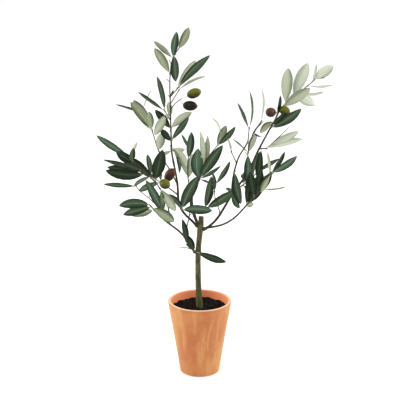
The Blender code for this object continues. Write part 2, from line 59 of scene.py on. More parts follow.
# %% Set up the camera
LOOK_AT = (0.0006, 0.0, 0.3461)
CAMERA_DISTANCE = 3.0
CAMERA_PITCH = math.radians(17.4)
LENS = 143.1
SENSOR_WIDTH = 36.0


def added(name, data):
    """A new object in the scene that shows a mesh, a lamp or a camera."""
    item = bpy.data.objects.new(name, data)
    bpy.context.scene.collection.objects.link(item)
    return item


camera_data = bpy.data.cameras.new("camera")
camera_data.lens = LENS
camera_data.sensor_width = SENSOR_WIDTH
camera = added("camera", camera_data)
camera.location = (
    LOOK_AT[0],
    LOOK_AT[1] - CAMERA_DISTANCE * math.cos(CAMERA_PITCH),
    LOOK_AT[2] + CAMERA_DISTANCE * math.sin(CAMERA_PITCH),
)
camera.rotation_euler = (math.pi / 2 - CAMERA_PITCH, 0, 0)
bpy.context.scene.camera = camera
print("camera at", [round(value, 3) for value in camera.location])

# %% [markdown]
# A finish is a material's node tree. Most of what varies over a surface is arithmetic on a few
# measures, such as the height above the ground or a noise pattern. So one small class wraps a
# socket, and Python's own operators on it add the Math nodes. A second class holds a tree and
# adds any other node to it, and a third has short methods for the few that finishes often use.

# %% Tools for finishes
def operator(operation, swapped=False):
    """A Python operator on a Wire: it adds a Math node and gives that node's value."""

    def apply(wire, *others):
        values = (*others, wire) if swapped else (wire, *others)
        return wire.nodes.math(operation, *values)

    return apply


class Wire:
    """The value of one socket, with operators for arithmetic on it."""

    def __init__(self, nodes, socket):
        self.nodes = nodes
        self.socket = socket

    __add__ = operator("ADD")
    __radd__ = operator("ADD", swapped=True)
    __sub__ = operator("SUBTRACT")
    __rsub__ = operator("SUBTRACT", swapped=True)
    __mul__ = operator("MULTIPLY")
    __rmul__ = operator("MULTIPLY", swapped=True)
    __abs__ = operator("ABSOLUTE")


def swatch(colour):
    """A colour as it looks on screen, from 0 to 255, turned into linear light. A Wire is kept."""
    if isinstance(colour, Wire):
        return colour
    shown = np.array(colour) / 255
    linear = np.where(shown <= 0.04045, shown / 12.92, ((shown + 0.055) / 1.055) ** 2.4)
    return (*linear.tolist(), 1.0)


class Nodes:
    """The node tree of a world or a material, and the ways to add to it."""

    def __init__(self, owner):
        owner.use_nodes = True
        self.tree = owner.node_tree

    def plug(self, value, socket):
        """Links a Wire to a socket, or sets the socket to a plain value."""
        if isinstance(value, Wire):
            self.tree.links.new(value.socket, socket)
        else:
            socket.default_value = value

    def node(self, kind, inputs=None, output=0, **settings):
        """Adds a node of a kind, with its settings first and then its sockets' values or links."""
        made = self.tree.nodes.new("ShaderNode" + kind)
        for key, value in settings.items():
            setattr(made, key, value)
        for key, value in (inputs or {}).items():
            self.plug(value, made.inputs[key])
        return Wire(self, made.outputs[output])

    def math(self, operation, *values):
        """Arithmetic on one or two values."""
        return self.node("Math", dict(enumerate(values)), operation=operation)


class Finish(Nodes):
    """A material being made: its Principled shader, and methods that add nodes round it."""

    def __init__(self, name):
        self.material = bpy.data.materials.new(name)
        super().__init__(self.material)
        self.shader = self.tree.nodes["Principled BSDF"]

    def mix(self, share, first, second):
        """A blend of two colours: the first at a share of 0, the second at 1."""
        inputs = {0: share, 6: swatch(first), 7: swatch(second)}
        return self.node("Mix", inputs, output=2, data_type="RGBA")

    def ramp(self, value, low, high):
        """0 where the value is below low, 1 above high, and a smooth S between them."""
        inputs = {"Value": value, "From Min": low, "From Max": high}
        return self.node("MapRange", inputs, interpolation_type="SMOOTHSTEP")

    def attribute(self, name):
        """A number that the mesh carries at each of its points."""
        return self.node("Attribute", output="Fac", attribute_name=name)

    def place(self, stretch=(1, 1, 1)):
        """Object coordinates, in metres, multiplied along each axis."""
        where = self.node("TexCoord", output="Object")
        return self.node("Mapping", {"Vector": where, "Scale": stretch})

    def height(self):
        """The height above the floor, in metres."""
        return self.node("SeparateXYZ", {"Vector": self.place()}, output="Z")

    def noise(self, scale, detail=3.0, roughness=0.55, stretch=(1, 1, 1), where=None):
        """Cloudy noise from 0 to 1, mostly near the middle, over the object's own coordinates."""
        inputs = {"Scale": scale, "Detail": detail, "Roughness": roughness}
        return self.node("TexNoise", inputs | {"Vector": where or self.place(stretch)})

    def bump(self, height, distance, strength):
        """Feeds the shader's Normal with relief of a height in metres."""
        inputs = {"Height": height, "Distance": distance, "Strength": strength}
        self.plug(self.node("Bump", inputs), self.shader.inputs["Normal"])

    def set(self, **values):
        """Sets or links the shader's own sockets, whose names have a space for each underscore."""
        for key, value in values.items():
            self.plug(value, self.shader.inputs[key.replace("_", " ")])
        return self.material


print("a mid grey of 128 is", round(swatch((128, 128, 128))[0], 3), "in linear light")

# %% [markdown]
# The plant stands on a plain pale floor in soft studio light. Two large softboxes stand to the
# left and right, a little behind the plant, so that the pot's sides and the leaves' edges are
# brighter than their middles, and a weaker one in front lifts the shadows. The room's own light
# comes mostly from above, so the world is dim at the horizon and bright overhead. The floor is
# one wide square that fills the view.

# %% Floor, world and lights
FLOOR_REACH = 30.0
HORIZON_LIGHT = 0.42
OVERHEAD_LIGHT = 1.3
SOFTBOX_SIDE = 1.4
SOFTBOXES = {
    "left_softbox": ((-1.7, 0.35, 0.9), 24.0),
    "right_softbox": ((1.7, 0.35, 0.9), 24.0),
    "front_softbox": ((-0.7, -2.4, 2.0), 16.0),
}

bpy.context.scene.view_settings.view_transform = "Standard"
world = bpy.data.worlds.new("studio")
bpy.context.scene.world = world
sky = Nodes(world)
skyward = sky.node("SeparateXYZ", {"Vector": sky.node("TexCoord", output="Generated")}, output="Z")
light = sky.node("MapRange", {"Value": skyward, "To Min": HORIZON_LIGHT, "To Max": OVERHEAD_LIGHT})
background = sky.tree.nodes["Background"].inputs
background["Color"].default_value = (1.0, 1.0, 1.0, 1.0)
sky.plug(light, background["Strength"])

paper = Finish("studio_paper")
whites = paper.mix(paper.noise(30.0), (252, 252, 251), (254, 254, 253))
floor_mesh = bpy.data.meshes.new("floor")
floor_corners = np.array([(-1, -1, 0), (1, -1, 0), (1, 1, 0), (-1, 1, 0)]) * FLOOR_REACH
floor_mesh.from_pydata(floor_corners, [], [(0, 1, 2, 3)])
floor_mesh.materials.append(paper.set(Base_Color=whites, Roughness=0.9))
floor = added("floor", floor_mesh)

for name, (place, power) in SOFTBOXES.items():
    lamp = bpy.data.lights.new(name, "AREA")
    lamp.size = SOFTBOX_SIDE
    lamp.energy = power
    softbox = added(name, lamp)
    softbox.location = place
    toward = Vector(LOOK_AT) - Vector(place)
    softbox.rotation_euler = toward.to_track_quat("-Z", "Y").to_euler()
print("softboxes:", ", ".join(SOFTBOXES))

# %% [markdown]
# Every shape on this plant is a row of rings: the pot is rings round its axis, a limb is rings
# along its centre line, and a leaf is flat rings along its rib. So one function joins a stack of
# rings into a skin, for one item or for many alike items at once. It works out the faces of one
# band as an array and repeats it by adding offsets, with no loop over points.

# %% Skins from rings
def skin_faces(items, stations, around):
    """Four-sided faces between neighbouring rings, and one many-sided face at each item's ends.

    A face joins point j of ring k to point j+1, and both to the same points of ring k+1.
    """
    here = np.arange(around)
    beside = (here + 1) % around
    band = np.stack([here, beside, beside + around, here + around], axis=1)
    bands = band + around * np.arange(stations - 1)[:, None, None]
    ends = np.stack([here[::-1], here + around * (stations - 1)])
    shift = stations * around * np.arange(items)
    quads = (bands + shift[:, None, None, None]).reshape(-1, 4)
    caps = (ends + shift[:, None, None]).reshape(-1, around)
    return quads.tolist() + caps.tolist()


def unit(vectors):
    """Vectors divided by their lengths."""
    return vectors / np.linalg.norm(vectors, axis=-1, keepdims=True)


def make_piece(name, points, faces, finishes, indices=None, sharp=50.0, **measures):
    """A smooth-shaded mesh on the plant's body. Measures are numbers that each point carries."""
    mesh = bpy.data.meshes.new(name)
    mesh.from_pydata(points.reshape(-1, 3) * METRES, [], faces)
    for finish in finishes:
        mesh.materials.append(finish)
    if indices is not None:
        mesh.polygons.foreach_set("material_index", indices)
    for key, values in measures.items():
        layer = mesh.attributes.new(key, "FLOAT", "POINT")
        layer.data.foreach_set("value", values.ravel().astype(np.float32))
    mesh.shade_smooth()
    mesh.set_sharp_from_angle(angle=math.radians(sharp))
    piece = added(name, mesh)
    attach(piece, "root")
    print(name, len(mesh.vertices), "points,", sum(len(face) - 2 for face in faces), "triangles")
    return piece


print("two rings of four points make a box of", len(skin_faces(1, 2, 4)), "faces")

# %% [markdown]
# Bark, clay and potting mix are never quite even. A lattice of random numbers, blended smoothly
# between its corners, gives soft lumps of any size, and adding a few sizes together gives relief
# that looks natural. It is worked out for all the points of a mesh at once, and it comes out the
# same on every run.

# %% Soft random lumps
CORNER_KEYS = np.array([73856093, 19349663, 83492791])
SEED_KEY = 6542989
SCRAMBLE_KEY = 1274126177
LATTICE_SHIFT = 500.0
LAST_BITS = 2**16 - 1


def lumps(places, size, seed=0):
    """Smooth heights from -1 to 1: the eight lattice corners round a place, blended by 3t² - 2t³."""
    at = np.asarray(places) / size + LATTICE_SHIFT
    cell = np.floor(at).astype(np.int64)
    t = at - cell
    t = t * t * (3 - 2 * t)
    total = 0.0
    for corner in itertools.product((0, 1), repeat=3):
        key = (cell + corner) @ CORNER_KEYS + seed * SEED_KEY
        key = (key ^ (key >> 13)) * SCRAMBLE_KEY
        key = (key ^ (key >> 16)) & LAST_BITS
        height = key / (LAST_BITS / 2) - 1
        total = total + height * np.prod(np.where(corner, t, 1 - t), axis=-1)
    return total


def layered(places, layers):
    """Lumps of several sizes added up. Each layer is a height, a size and a seed."""
    return sum(height * lumps(places, size, seed) for height, size, seed in layers)


print("lumps at three places:", np.round(lumps(np.eye(3) * 7.0, 5.0), 2))

# %% [markdown]
# Directions on this plant are read the way they are seen in the photograph: a heading,
# anticlockwise from the right, and a lean towards the viewer. A limb grows from its start in
# small steps whose heading and lean change evenly from base to tip, as a real shoot does, so a
# few numbers describe a long soft bend. Adding the steps up gives its centre line.

# %% Directions and centre lines
LIMB_STEP = 3.0
FEWEST_STEPS = 4
CLEARANCE = 0.3
TIP = -1.0


def direction(heading, lean):
    """Unit vectors: across is cos h · cos l, back is minus sin l, and up is sin h · cos l."""
    turn = np.radians(heading)
    tilt = np.radians(lean)
    return np.stack([np.cos(turn) * np.cos(tilt), -np.sin(tilt), np.sin(turn) * np.cos(tilt)], -1)


def between(values, share):
    """Evenly spaced values blended in straight lines, at shares of the way along them."""
    return np.interp(share, np.linspace(0, 1, len(values)), values)


class Limb:
    """A centre line: equal steps in a smoothly changing direction, added up from the start."""

    def __init__(self, start, headings, leans, length, radii):
        self.length = length
        self.radii = radii
        self.steps = max(FEWEST_STEPS, round(length / LIMB_STEP))
        share = (np.arange(self.steps) + 0.5) / self.steps
        ahead = direction(between(headings, share), between(leans, share))
        run = np.cumsum(ahead * (length / self.steps), axis=0)
        self.points = np.concatenate([[start], start + run])
        self.distances = np.linspace(0, length, self.steps + 1)

    def place(self, at):
        """(point, direction, radius) at a distance from the base."""
        at = min(max(at, 0.0), self.length)
        low = min(int(at / self.length * self.steps), self.steps - 1)
        point = np.array([np.interp(at, self.distances, line) for line in self.points.T])
        ahead = unit(self.points[low + 1] - self.points[low])
        return point, ahead, between(self.radii, at / self.length)


def seat(parent, at, ahead, radius):
    """Where a limb's base rests just clear of its parent's side or, at TIP, of its parent's tip."""
    centre, along, reach = parent.place(parent.length if at == TIP else at)
    if at == TIP:
        outward, reach = along, 0.0
    else:
        outward = unit(ahead - along * (ahead @ along))
    tilt = math.sqrt(max(0.0, 1 - float(ahead @ outward) ** 2))
    return centre + outward * (reach + CLEARANCE + radius * tilt)


print("straight up:", direction(90, 0).round(3), "towards the viewer:", direction(90, 90).round(3))

# %% [markdown]
# A tube is a circle carried along a centre line. Each ring lies across the line's direction, and
# its two axes are worked out from the world axis that the limb runs along least, which keeps the
# rings from twisting. Knots, buds and bark only change the radius, point by point.

# %% Tubes along centre lines
def circle(sides):
    """The cosines and sines of angles spaced evenly all the way round."""
    angle = math.tau * np.arange(sides) / sides
    return np.cos(angle), np.sin(angle)


def carried_rings(path, radii, sides):
    """Rings of points: centre + radius · (cos a · side + sin a · up), for a all the way round.

    The radii are one number for each ring, or one for each point of each ring.
    """
    ahead = unit(np.gradient(path, axis=0))
    reference = np.eye(3)[np.argmin(np.abs(ahead).mean(axis=0))]
    side = unit(np.cross(ahead, reference))
    up = np.cross(ahead, side)
    cos, sin = circle(sides)
    round_the_line = cos[:, None] * side[:, None] + sin[:, None] * up[:, None]
    return path[:, None] + np.reshape(radii, (len(path), -1, 1)) * round_the_line


def swellings(distances, places, height, reach):
    """Soft bumps along a limb: height · exp(-(distance to the place / reach)²), the highest of all."""
    gaps = (distances[:, None] - np.asarray(places)[None, :]) / reach
    return height * np.exp(-(gaps**2)).max(axis=1, initial=0.0)


def rooted(start, limb):
    """A limb's centre line and distances, led back to a point inside the limb that carries it."""
    path = np.concatenate([[start], limb.points])
    reach = np.linalg.norm(path[1] - path[0])
    return path, np.concatenate([[-reach], limb.distances])


print("three rings of eight points:", carried_rings(np.eye(3), np.ones(3), 8).shape)

# %% [markdown]
# The plant's plan is a set of short rows. A row for a limb says what it grows on, how far along,
# which way it points from base to tip, its length and its radii. A row for a leaf says where its
# stalk joins the twig, which way it points and how its blade is turned, because on a real shoot
# these differ from leaf to leaf, and the open outline of this plant depends on them.

# %% The kinds of row
class Leaf(NamedTuple):
    """One leaf. A face of 0 shows its dark upper side to the front, and 180 its pale underside.

    A width of 0 leaves the width to the seeded rule, and without a tint it has its spray's greens.
    """

    at: float
    heading: float
    lean: float
    length: float
    face: float
    width: float = 0.0
    sweep: float = 0.0
    tint: str = ""


class Olive(NamedTuple):
    """One olive at the end of a stalk that leaves the twig."""

    at: float
    headings: tuple
    leans: tuple
    stalk: float
    heading: float
    lean: float
    ripeness: str


class Pairs(NamedTuple):
    """Opposite pairs of leaves by the seeded rule, each pair turned on from the last."""

    first: int
    step: int
    last: int


class Twig(NamedTuple):
    """A stem inside a spray. A side twig joins the spray's first stem at `at`."""

    at: float
    headings: tuple
    leans: tuple
    length: float
    radius: float
    leaves: tuple = ()
    olives: tuple = ()
    pairs: Pairs | None = None


class Bough(NamedTuple):
    """A bare tapering limb that starts on the side of another one."""

    on: str
    at: float
    headings: tuple
    leans: tuple
    length: float
    radii: tuple


class Spray(NamedTuple):
    """A mass of leaves on one stem. It starts at its bough's tip, or at `at` on its side.

    Its tints are the greens of its leaves' upper sides and undersides, where they aren't the usual.
    """

    on: str
    at: float
    twigs: tuple
    tints: tuple = ()


print("a row for a leaf has:", ", ".join(Leaf._fields))

# %% [markdown]
# The trunk is a bare stem that leans a little and carries every bough near its top. The boughs
# are thin and nearly even in width, because on the real plant they are coated wires.

# %% Rows for the trunk and the boughs
POT_HEIGHT = 145.0
SOIL_DEPTH_BELOW_RIM = 16.0
SOIL_LEVEL = POT_HEIGHT - SOIL_DEPTH_BELOW_RIM
TRUNK = Bough(
    "ground", 0.0, (94, 93, 91, 90, 86, 84, 87), (0, 0), 184.0, (6.9, 5.7, 5.5, 5.3, 5.2, 5.5, 4.9)
)
BOUGHS = {
    "left_low_bough": Bough(
        "trunk", 113.0, (116, 118, 128, 134, 134, 128, 124), (8, 13, 15, 26, 29, 28, 25), 134.0,
        (2.3, 1.4),
    ),
    "left_leader_bough": Bough(
        "trunk", 165.0, (126, 136, 110, 90, 99, 102, 100), (8, 9, 4, -6, -10, -12, -12), 156.0,
        (2.4, 1.7),
    ),
    "centre_bough": Bough(
        "trunk", 169.0, (113, 110, 98, 82, 66, 58), (16, 8, 10, 14, 16), 100.0, (1.8, 1.4)
    ),
    "right_leader_bough": Bough(
        "trunk", 158.0, (25, 42, 57, 59, 60, 48, 52, 63, 66, 61, 60, 60),
        (-14, -10, -11, -11, -12, -14, -15, -15, -16, -17, -17, -20), 230.0, (2.5, 1.6),
    ),
    "right_low_bough": Bough(
        "trunk", 162.0, (20, 18, 33, 45, 55, 57), (24, 27, 30, 28, 27, 28), 114.0, (2.1, 1.5)
    ),
    "right_inner_bough": Bough(
        "right_leader_bough", 87.0, (84, 87, 80, 76, 62, 66), (26, 22, 24, 20, 26, 25), 132.0,
        (1.6, 1.3),
    ),
    "back_bough": Bough(
        "trunk", 166.0, (124, 112, 102, 80, 60, 54), (-46, -46, -42, -40, -40, -40), 110.0,
        (1.8, 1.4),
    ),
}
print("boughs:", ", ".join(BOUGHS))

# %% [markdown]
# The lowest sprays hang round the left of the trunk: a sprig straight off it, two
# sprays on the reddish low bough, and the cluster whose olive is still green.

# %% Rows for the low left sprays
LOW_LEFT = {
    "trunk_sprig": Spray("trunk", 115.0, (
        Twig(0, (135, 128), (62, 15), 40, 1.6, (
            Leaf(3, -16, 12, 60, 12, 17),
            Leaf(14, 166, 5, 31, 120, 8, -15),
            Leaf(13, 112, 24, 47, 12, 15),
            Leaf(38, 99, 16, 61, 25, 13),
        )),
    ), ("deep", "sage")),
    "left_low_spray": Spray("left_low_bough", TIP, (
        Twig(0, (120, 125), (22, 22), 17, 1.4, (
            Leaf(14, 177, 11, 61, 12, 19, -45),
            Leaf(10, 191, 16, 56, 15, 17, -15),
            Leaf(2, 197, -14, 50, 168, 20, 25),
            Leaf(9, -26, 28, 52, 158, 20, 20),
        )),
    )),
    "left_low_twig": Spray("left_low_bough", 100.0, (
        Twig(0, (104, 116, 130, 124, 136, 128, 116), (18, 24, 29, 28, 25, 20), 108, 1.2, (
            Leaf(105, 175, 5, 60, 50, 11, 15, "dark"),
            Leaf(11, 113, 19, 88, 10, 17, 0, "blue"),
            Leaf(16, 94, 24, 54, 30, 12),
        )),
    ), ("mid", "sage")),
    "left_cluster": Spray("left_low_bough", 88.0, (
        Twig(0, (88, 100, 112, 122, 137, 127, 118), (9, 14, 17, 21, 25, 24, 15), 178, 1.5, (
            Leaf(76, -51, 29, 52, 165, 17, 0, "pale"),
            Leaf(96, 84, -14, 42, 25, 12),
            Leaf(97, 76, 8, 66, 8, 25),
            Leaf(105, 131, 12, 61, 15, 16),
            Leaf(123, 170, 16, 77, 10, 20, 20),
            Leaf(131, 177, -14, 68, 20, 15),
            Leaf(134, 147, 35, 50, 30, 14),
            Leaf(157, 141, 18, 43, 15, 18),
            Leaf(134, 167, -12, 75, 78, 0, 15),
            Leaf(160, 89, 30, 38, 35, 15, 40, "dark"),
            Leaf(172, 65, -10, 32, 130, 9, 30, "pale"),
            Leaf(176, 144, 8, 72, 15, 13, 15, "blue"),
        ), (
            Olive(93, (15, -5), (10, 25), 13, 10, 65, "green"),
        )),
    ), ("deep", "sage")),
}
print("low left:", ", ".join(LOW_LEFT))

# %% [markdown]
# The left leader carries the highest leaves on the left, a long side spray behind it, and a
# twig with one brown olive. Its own two olives are a green one and a dark ripe one.

# %% Rows for the left leader's sprays
LEFT = {
    "left_fruit_twig": Spray("left_leader_bough", 136.0, (
        Twig(0, (-75,), (60,), 11, 1.2, (), (
            Olive(10, (-122,), (16,), 5, -122, 14, "brown"),
        )),
    )),
    "left_side_spray": Spray("left_leader_bough", 98.0, (
        Twig(0, (118, 128, 136, 121, 110, 113, 119, 111), (-44, -46, -50, -42, -43, -41, -34, -31),
             182, 1.4, (
            Leaf(84, 80, -4, 35, 172, 18, 0, "pale"),
            Leaf(132, 98, 8, 38, 168, 13),
            Leaf(128, 123, -18, 71, 168, 23, 8),
            Leaf(136, 134, -22, 44, 20, 13),
            Leaf(131, 127, -4, 68, 172, 22, -8),
            Leaf(170, 167, -14, 60, 82, 0, 20),
            Leaf(179, 67, -3, 41, 82, 0, 45),
        )),
    )),
    "left_leader_spray": Spray("left_leader_bough", TIP, (
        Twig(0, (95, 90, 93, 92, 90, 92, 92, 90, 86, 82, 62, 50), (-15, -18, -17, -15, -14, -10),
             200, 1.7, (
            Leaf(4, -3, -30, 29, 140, 12),
            Leaf(4, 222, -25, 33, 140, 13),
            Leaf(10, -54, 6, 49, 155, 17, 50),
            Leaf(11, -75, -5, 58, 45, 12, 70),
            Leaf(21, 130, -4, 31, 15, 13, 0, "deep"),
            Leaf(22, 56, 8, 60, 30, 16, 22),
            Leaf(44, 129, -5, 47, 15, 15, 0, "deep"),
            Leaf(45, 37, -8, 50, 160, 17, 25),
            Leaf(76, 228, 46, 62, 165, 19),
            Leaf(67, 98, -16, 28, 168, 12),
            Leaf(105, 66, 15, 16, 30, 5),
            Leaf(147, 120, 3, 58, 165, 18, 8, "sage"),
            Leaf(177, 138, -3, 48, 145, 14, 20, "sage"),
            Leaf(178, 82, 0, 50, 20, 16, 20, "blue"),
            Leaf(184, 273, 30, 52, 12, 18),
            Leaf(196, 64, -5, 46, 165, 16, -15, "sage"),
        )),
        Twig(60, (120,), (-2,), 24, 1.1, (
            Leaf(21, 102, 3, 69, 40, 13),
            Leaf(22, 144, 0, 61, 55, 10, 20),
        )),
        Twig(104, (50,), (0,), 27, 1.0, (
            Leaf(24, 46, -1, 86, 35, 22, 28),
            Leaf(20, 57, -6, 64, 155, 17, 20),
        )),
        Twig(91, (58,), (-6,), 32, 1.0, (
            Leaf(30, 28, -4, 58, 108, 11, 50),
        )),
        Twig(80, (62, 36), (6, 6), 28, 1.0, (), (
            Olive(27, (28,), (0,), 18, 20, 0, "green"),
            Olive(27, (-52,), (8,), 13, -3, 5, "dark"),
        )),
    ), ("dark", "pale")),
}
print("left:", ", ".join(LEFT))

# %% [markdown]
# In the middle the leaves cross in front of and behind the trunk. One lies level over the
# trunk's cut top.

# %% Rows for the sprays round the trunk
CENTRE = {
    "fork_spray": Spray("left_leader_bough", 46.0, (
        Twig(0, (100,), (75,), 11, 1.6, (
            Leaf(8, 1, 7, 59, 10, 21, 30, "blue"),
            Leaf(9, 67, 17, 86, 10, 24, 15),
            Leaf(8, 123, 25, 51, 30, 11, -25),
        )),
    )),
    "centre_left_spray": Spray("left_low_bough", 40.0, (
        Twig(0, (78, 75, 88, 96, 97, 86, 84), (-34, -20, -17, -20, -15, -18, -15), 165, 1.3, (
            Leaf(71, 65, -25, 43, 30, 10),
            Leaf(109, 81, -6, 49, 160, 15),
            Leaf(112, 112, -20, 40, 155, 15),
            Leaf(146, 83, 3, 55, 15, 16),
            Leaf(168, 118, -22, 32, 50, 0, 0, "dark"),
        )),
    ), ("blue", "pale")),
    "centre_front_spray": Spray("centre_bough", TIP, (
        Twig(0, (78, 75), (14, 14), 16, 1.4, (
            Leaf(3, 92, 9, 64, 15, 25, 34, "blue"),
            Leaf(3, 58, 7, 82, 10, 22, 14),
            Leaf(4, 28, -18, 47, 35, 12),
            Leaf(13, 91, -3, 84, 135, 15),
            Leaf(13, 80, -8, 75, 140, 15),
            Leaf(10, 68, -35, 44, 20, 15),
        )),
    ), ("dark", "pale")),
    "trunk_tip_spray": Spray("centre_bough", 38.0, (
        Twig(0, (-12, 0), (-6, -5), 25, 1.4, (
            Leaf(23, 80, 10, 70, 20, 17),
            Leaf(25, 37, 13, 69, 12, 20, 4),
            Leaf(22, 70, -8, 46, 35, 14),
        )),
    )),
    "centre_right_spray": Spray("right_leader_bough", 44.0, (
        Twig(0, (94, 106, 104, 90, 78), (42, 38, 35, 32, 30), 95, 1.2, (
            Leaf(92, 61, 8, 55, 35, 14, 10),
            Leaf(88, 146, 30, 38, 60, 6),
            Leaf(72, 95, 20, 44, 30, 9),
        )),
    ), ("dark", "pale")),
}
print("centre:", ", ".join(CENTRE))

# %% [markdown]
# To the right, inside the crown, short sprays fill the space between the two right boughs.

# %% Rows for the inner right sprays
INNER_RIGHT = {
    "right_fork_spray": Spray("right_leader_bough", 90.0, (
        Twig(0, (100,), (60,), 9, 1.3, (
            Leaf(5, -63, 26, 34, 20, 14),
            Leaf(6, 132, 45, 27, 40, 8),
        )),
    )),
    "right_inner_leaf": Spray("right_inner_bough", 58.0, (
        Twig(0, (75,), (60,), 8, 1.3, (
            Leaf(6, -79, 18, 63, 15, 19, -20),
        )),
    )),
    "right_inner_twig": Spray("right_inner_bough", 78.0, (
        Twig(0, (116,), (-20,), 21, 1.1, (
            Leaf(20, 107, -18, 26, 125, 9, 0, "pale"),
        )),
    )),
    "right_inner_spray": Spray("right_inner_bough", TIP, (
        Twig(0, (85, 88), (20, 20), 31, 1.2, (
            Leaf(29, 113, 8, 56, 62, 12, 12),
            Leaf(30, 90, -2, 71, 62, 10, -10),
        )),
    )),
    "right_mid_spray": Spray("right_leader_bough", 143.0, (
        Twig(0, (102, 90, 86, 76, 62, 57), (34, 24, 21, 15, 8, 5), 117, 1.2, (
            Leaf(44, -89, 8, 64, 15, 17),
            Leaf(43, 68, 0, 42, 168, 13, 15, "pale"),
            Leaf(45, 141, -14, 40, 85, 0, 20),
            Leaf(77, 56, 0, 42, 62, 0, 60, "deep"),
            Leaf(90, -34, -25, 20, 50, 8, 0, "deep"),
            Leaf(115, 89, -5, 66, 94, 0, 8, "pale"),
        )),
    ), ("blue", "sage")),
    "right_low_spray": Spray("right_low_bough", TIP, (
        Twig(0, (56, 54, 58, 64, 72), (28, 27, 27, 24, 23), 101, 1.5, (
            Leaf(4, 86, 10, 67, 20, 15),
            Leaf(4, -18, -58, 29, 150, 12),
            Leaf(6, 60, 13, 68, 10, 20),
            Leaf(26, 74, -8, 58, 22, 19),
            Leaf(30, 100, 5, 52, 20, 17),
            Leaf(44, 62, 6, 50, 15, 15),
            Leaf(57, 3, -12, 48, 87),
            Leaf(92, 97, 10, 50, 125, 10, 0, "pale"),
            Leaf(98, 57, -13, 48, 40, 14),
            Leaf(95, 240, 20, 36, 160, 13),
            Leaf(100, 37, 8, 58, 15, 16, 0, "blue"),
        )),
    ), ("deep", "sage")),
}
print("inner right:", ", ".join(INNER_RIGHT))

# %% [markdown]
# The right leader reaches the highest on that side and leans back. Its leaves are the
# palest of the plant, partly by painted light on those that lie in shade, and a pair of olives
# hangs from its bend.

# %% Rows for the right leader's sprays
RIGHT = {
    "right_back_leaves": Spray("right_leader_bough", 190.0, (
        Twig(0, (10,), (25,), 12, 1.3, (
            Leaf(2, -94, 18, 64, 15, 16),
            Leaf(10, 25, -12, 72, 155, 17),
            Leaf(11, 12, -11, 73, 160, 13, 8),
            Leaf(11, 43, -4, 62, 65, 7, 15),
        )),
    ), ("deep", "palest_and_lit")),
    "right_leader_spray": Spray("right_leader_bough", TIP, (
        Twig(0, (53, 66, 45, 32, 33, 37), (-19, -18, -20, -24, -24, -23), 133, 1.6, (
            Leaf(3, 34, 4, 70, 12, 20, 0, "dark"),
            Leaf(10, 55, 32, 44, 20, 13),
            Leaf(18, 209, 38, 41, 158, 17, 0, "sage"),
            Leaf(30, 83, 12, 43, 45, 11, 15),
            Leaf(49, 36, 6, 65, 168, 21),
            Leaf(58, 86, -2, 69, 174, 23),
            Leaf(78, 67, -3, 71, 174, 24, 0, "palest_and_lit"),
            Leaf(88, -39, -36, 61, 165, 21, 0, "palest_and_lit"),
            Leaf(93, -3, -20, 52, 100, 0, 0, "palest_and_lit"),
            Leaf(115, 1, -8, 51, 98, 0, 0, "palest_and_lit"),
            Leaf(127, 77, -20, 36, 130, 8, 0, "palest_and_lit"),
            Leaf(133, 34, -15, 46, 165, 21, 15, "palest_and_lit"),
        ), (
            Olive(36, (165,), (40,), 14, 150, 60, "brown"),
            Olive(45, (20,), (40,), 3, -20, 65, "green"),
        )),
    ), ("deep", "pale")),
}
print("right:", ", ".join(RIGHT))

# %% [markdown]
# The photograph doesn't show the back. The sprays there are the same in kind, and most of
# their leaves stand in opposite pairs by the rule, so that the crown is as full from behind.

# %% Rows for the sprays at the back
BACK = {
    "back_spray": Spray("back_bough", TIP, (
        Twig(0, (80, 57, 44, 40), (-40, -40, -45, -44), 78, 1.5, (
            Leaf(75, 66, -5, 45, 172, 16),
            Leaf(77, 48, 2, 53, 20, 14),
            Leaf(75, 102, -22, 64, 100, 0, -85, "pale"),
            Leaf(8, 86, -20, 44, 40),
            Leaf(28, 84, -10, 36, 150),
        )),
    )),
    "left_back_spray": Spray("left_leader_bough", 76.0, (
        Twig(0, (165, 168, 172, 176), (-60, -60, -58, -55), 106, 1.5, (), (), Pairs(66, 18, 104)),
    )),
    "right_far_spray": Spray("right_leader_bough", 98.0, (
        Twig(0, (5, 18, 28, 32), (-58, -56, -53, -50), 106, 1.5, (), (), Pairs(26, 19, 86)),
    )),
}
print("back:", ", ".join(BACK))

# %% [markdown]
# The sprays are handled in these six groups. Each group's twigs, stalks and leaves become one
# mesh of each kind, which keeps the number of pieces small.

# %% Groups of sprays
GROUPS = {
    "low_left": LOW_LEFT,
    "left": LEFT,
    "centre": CENTRE,
    "inner_right": INNER_RIGHT,
    "right": RIGHT,
    "back": BACK,
}
SPRAYS = {name: spray for group in GROUPS.values() for name, spray in group.items()}
print("sprays:", len(SPRAYS))

# %% [markdown]
# Each limb starts on its parent, at the place that its row names, and the sprays later find their
# own starts on these limbs in the same way. Nothing is placed by hand in space.

# %% Grow the centre lines of the trunk and boughs
foot = np.array([0, 0, SOIL_LEVEL + CLEARANCE])
LIMBS = {"trunk": Limb(foot, TRUNK.headings, TRUNK.leans, TRUNK.length, TRUNK.radii)}
for name, bough in BOUGHS.items():
    ahead = direction(bough.headings[0], bough.leans[0])
    start = seat(LIMBS[bough.on], bough.at, ahead, bough.radii[0])
    LIMBS[name] = Limb(start, bough.headings, bough.leans, bough.length, bough.radii)
print("limb tips:", {name: np.round(limb.points[-1]).tolist() for name, limb in LIMBS.items()})

# %% [markdown]
# The bark of this plant is a thin moulded coat: olive brown on the trunk, greener and speckled
# near the soil, and dark brown on the boughs. Long shallow furrows run up it. The finish draws
# them with noise that is stretched along the limb, and the mesh carries the larger relief.

# %% Bark finishes
MOSS_HEIGHT = 65.0


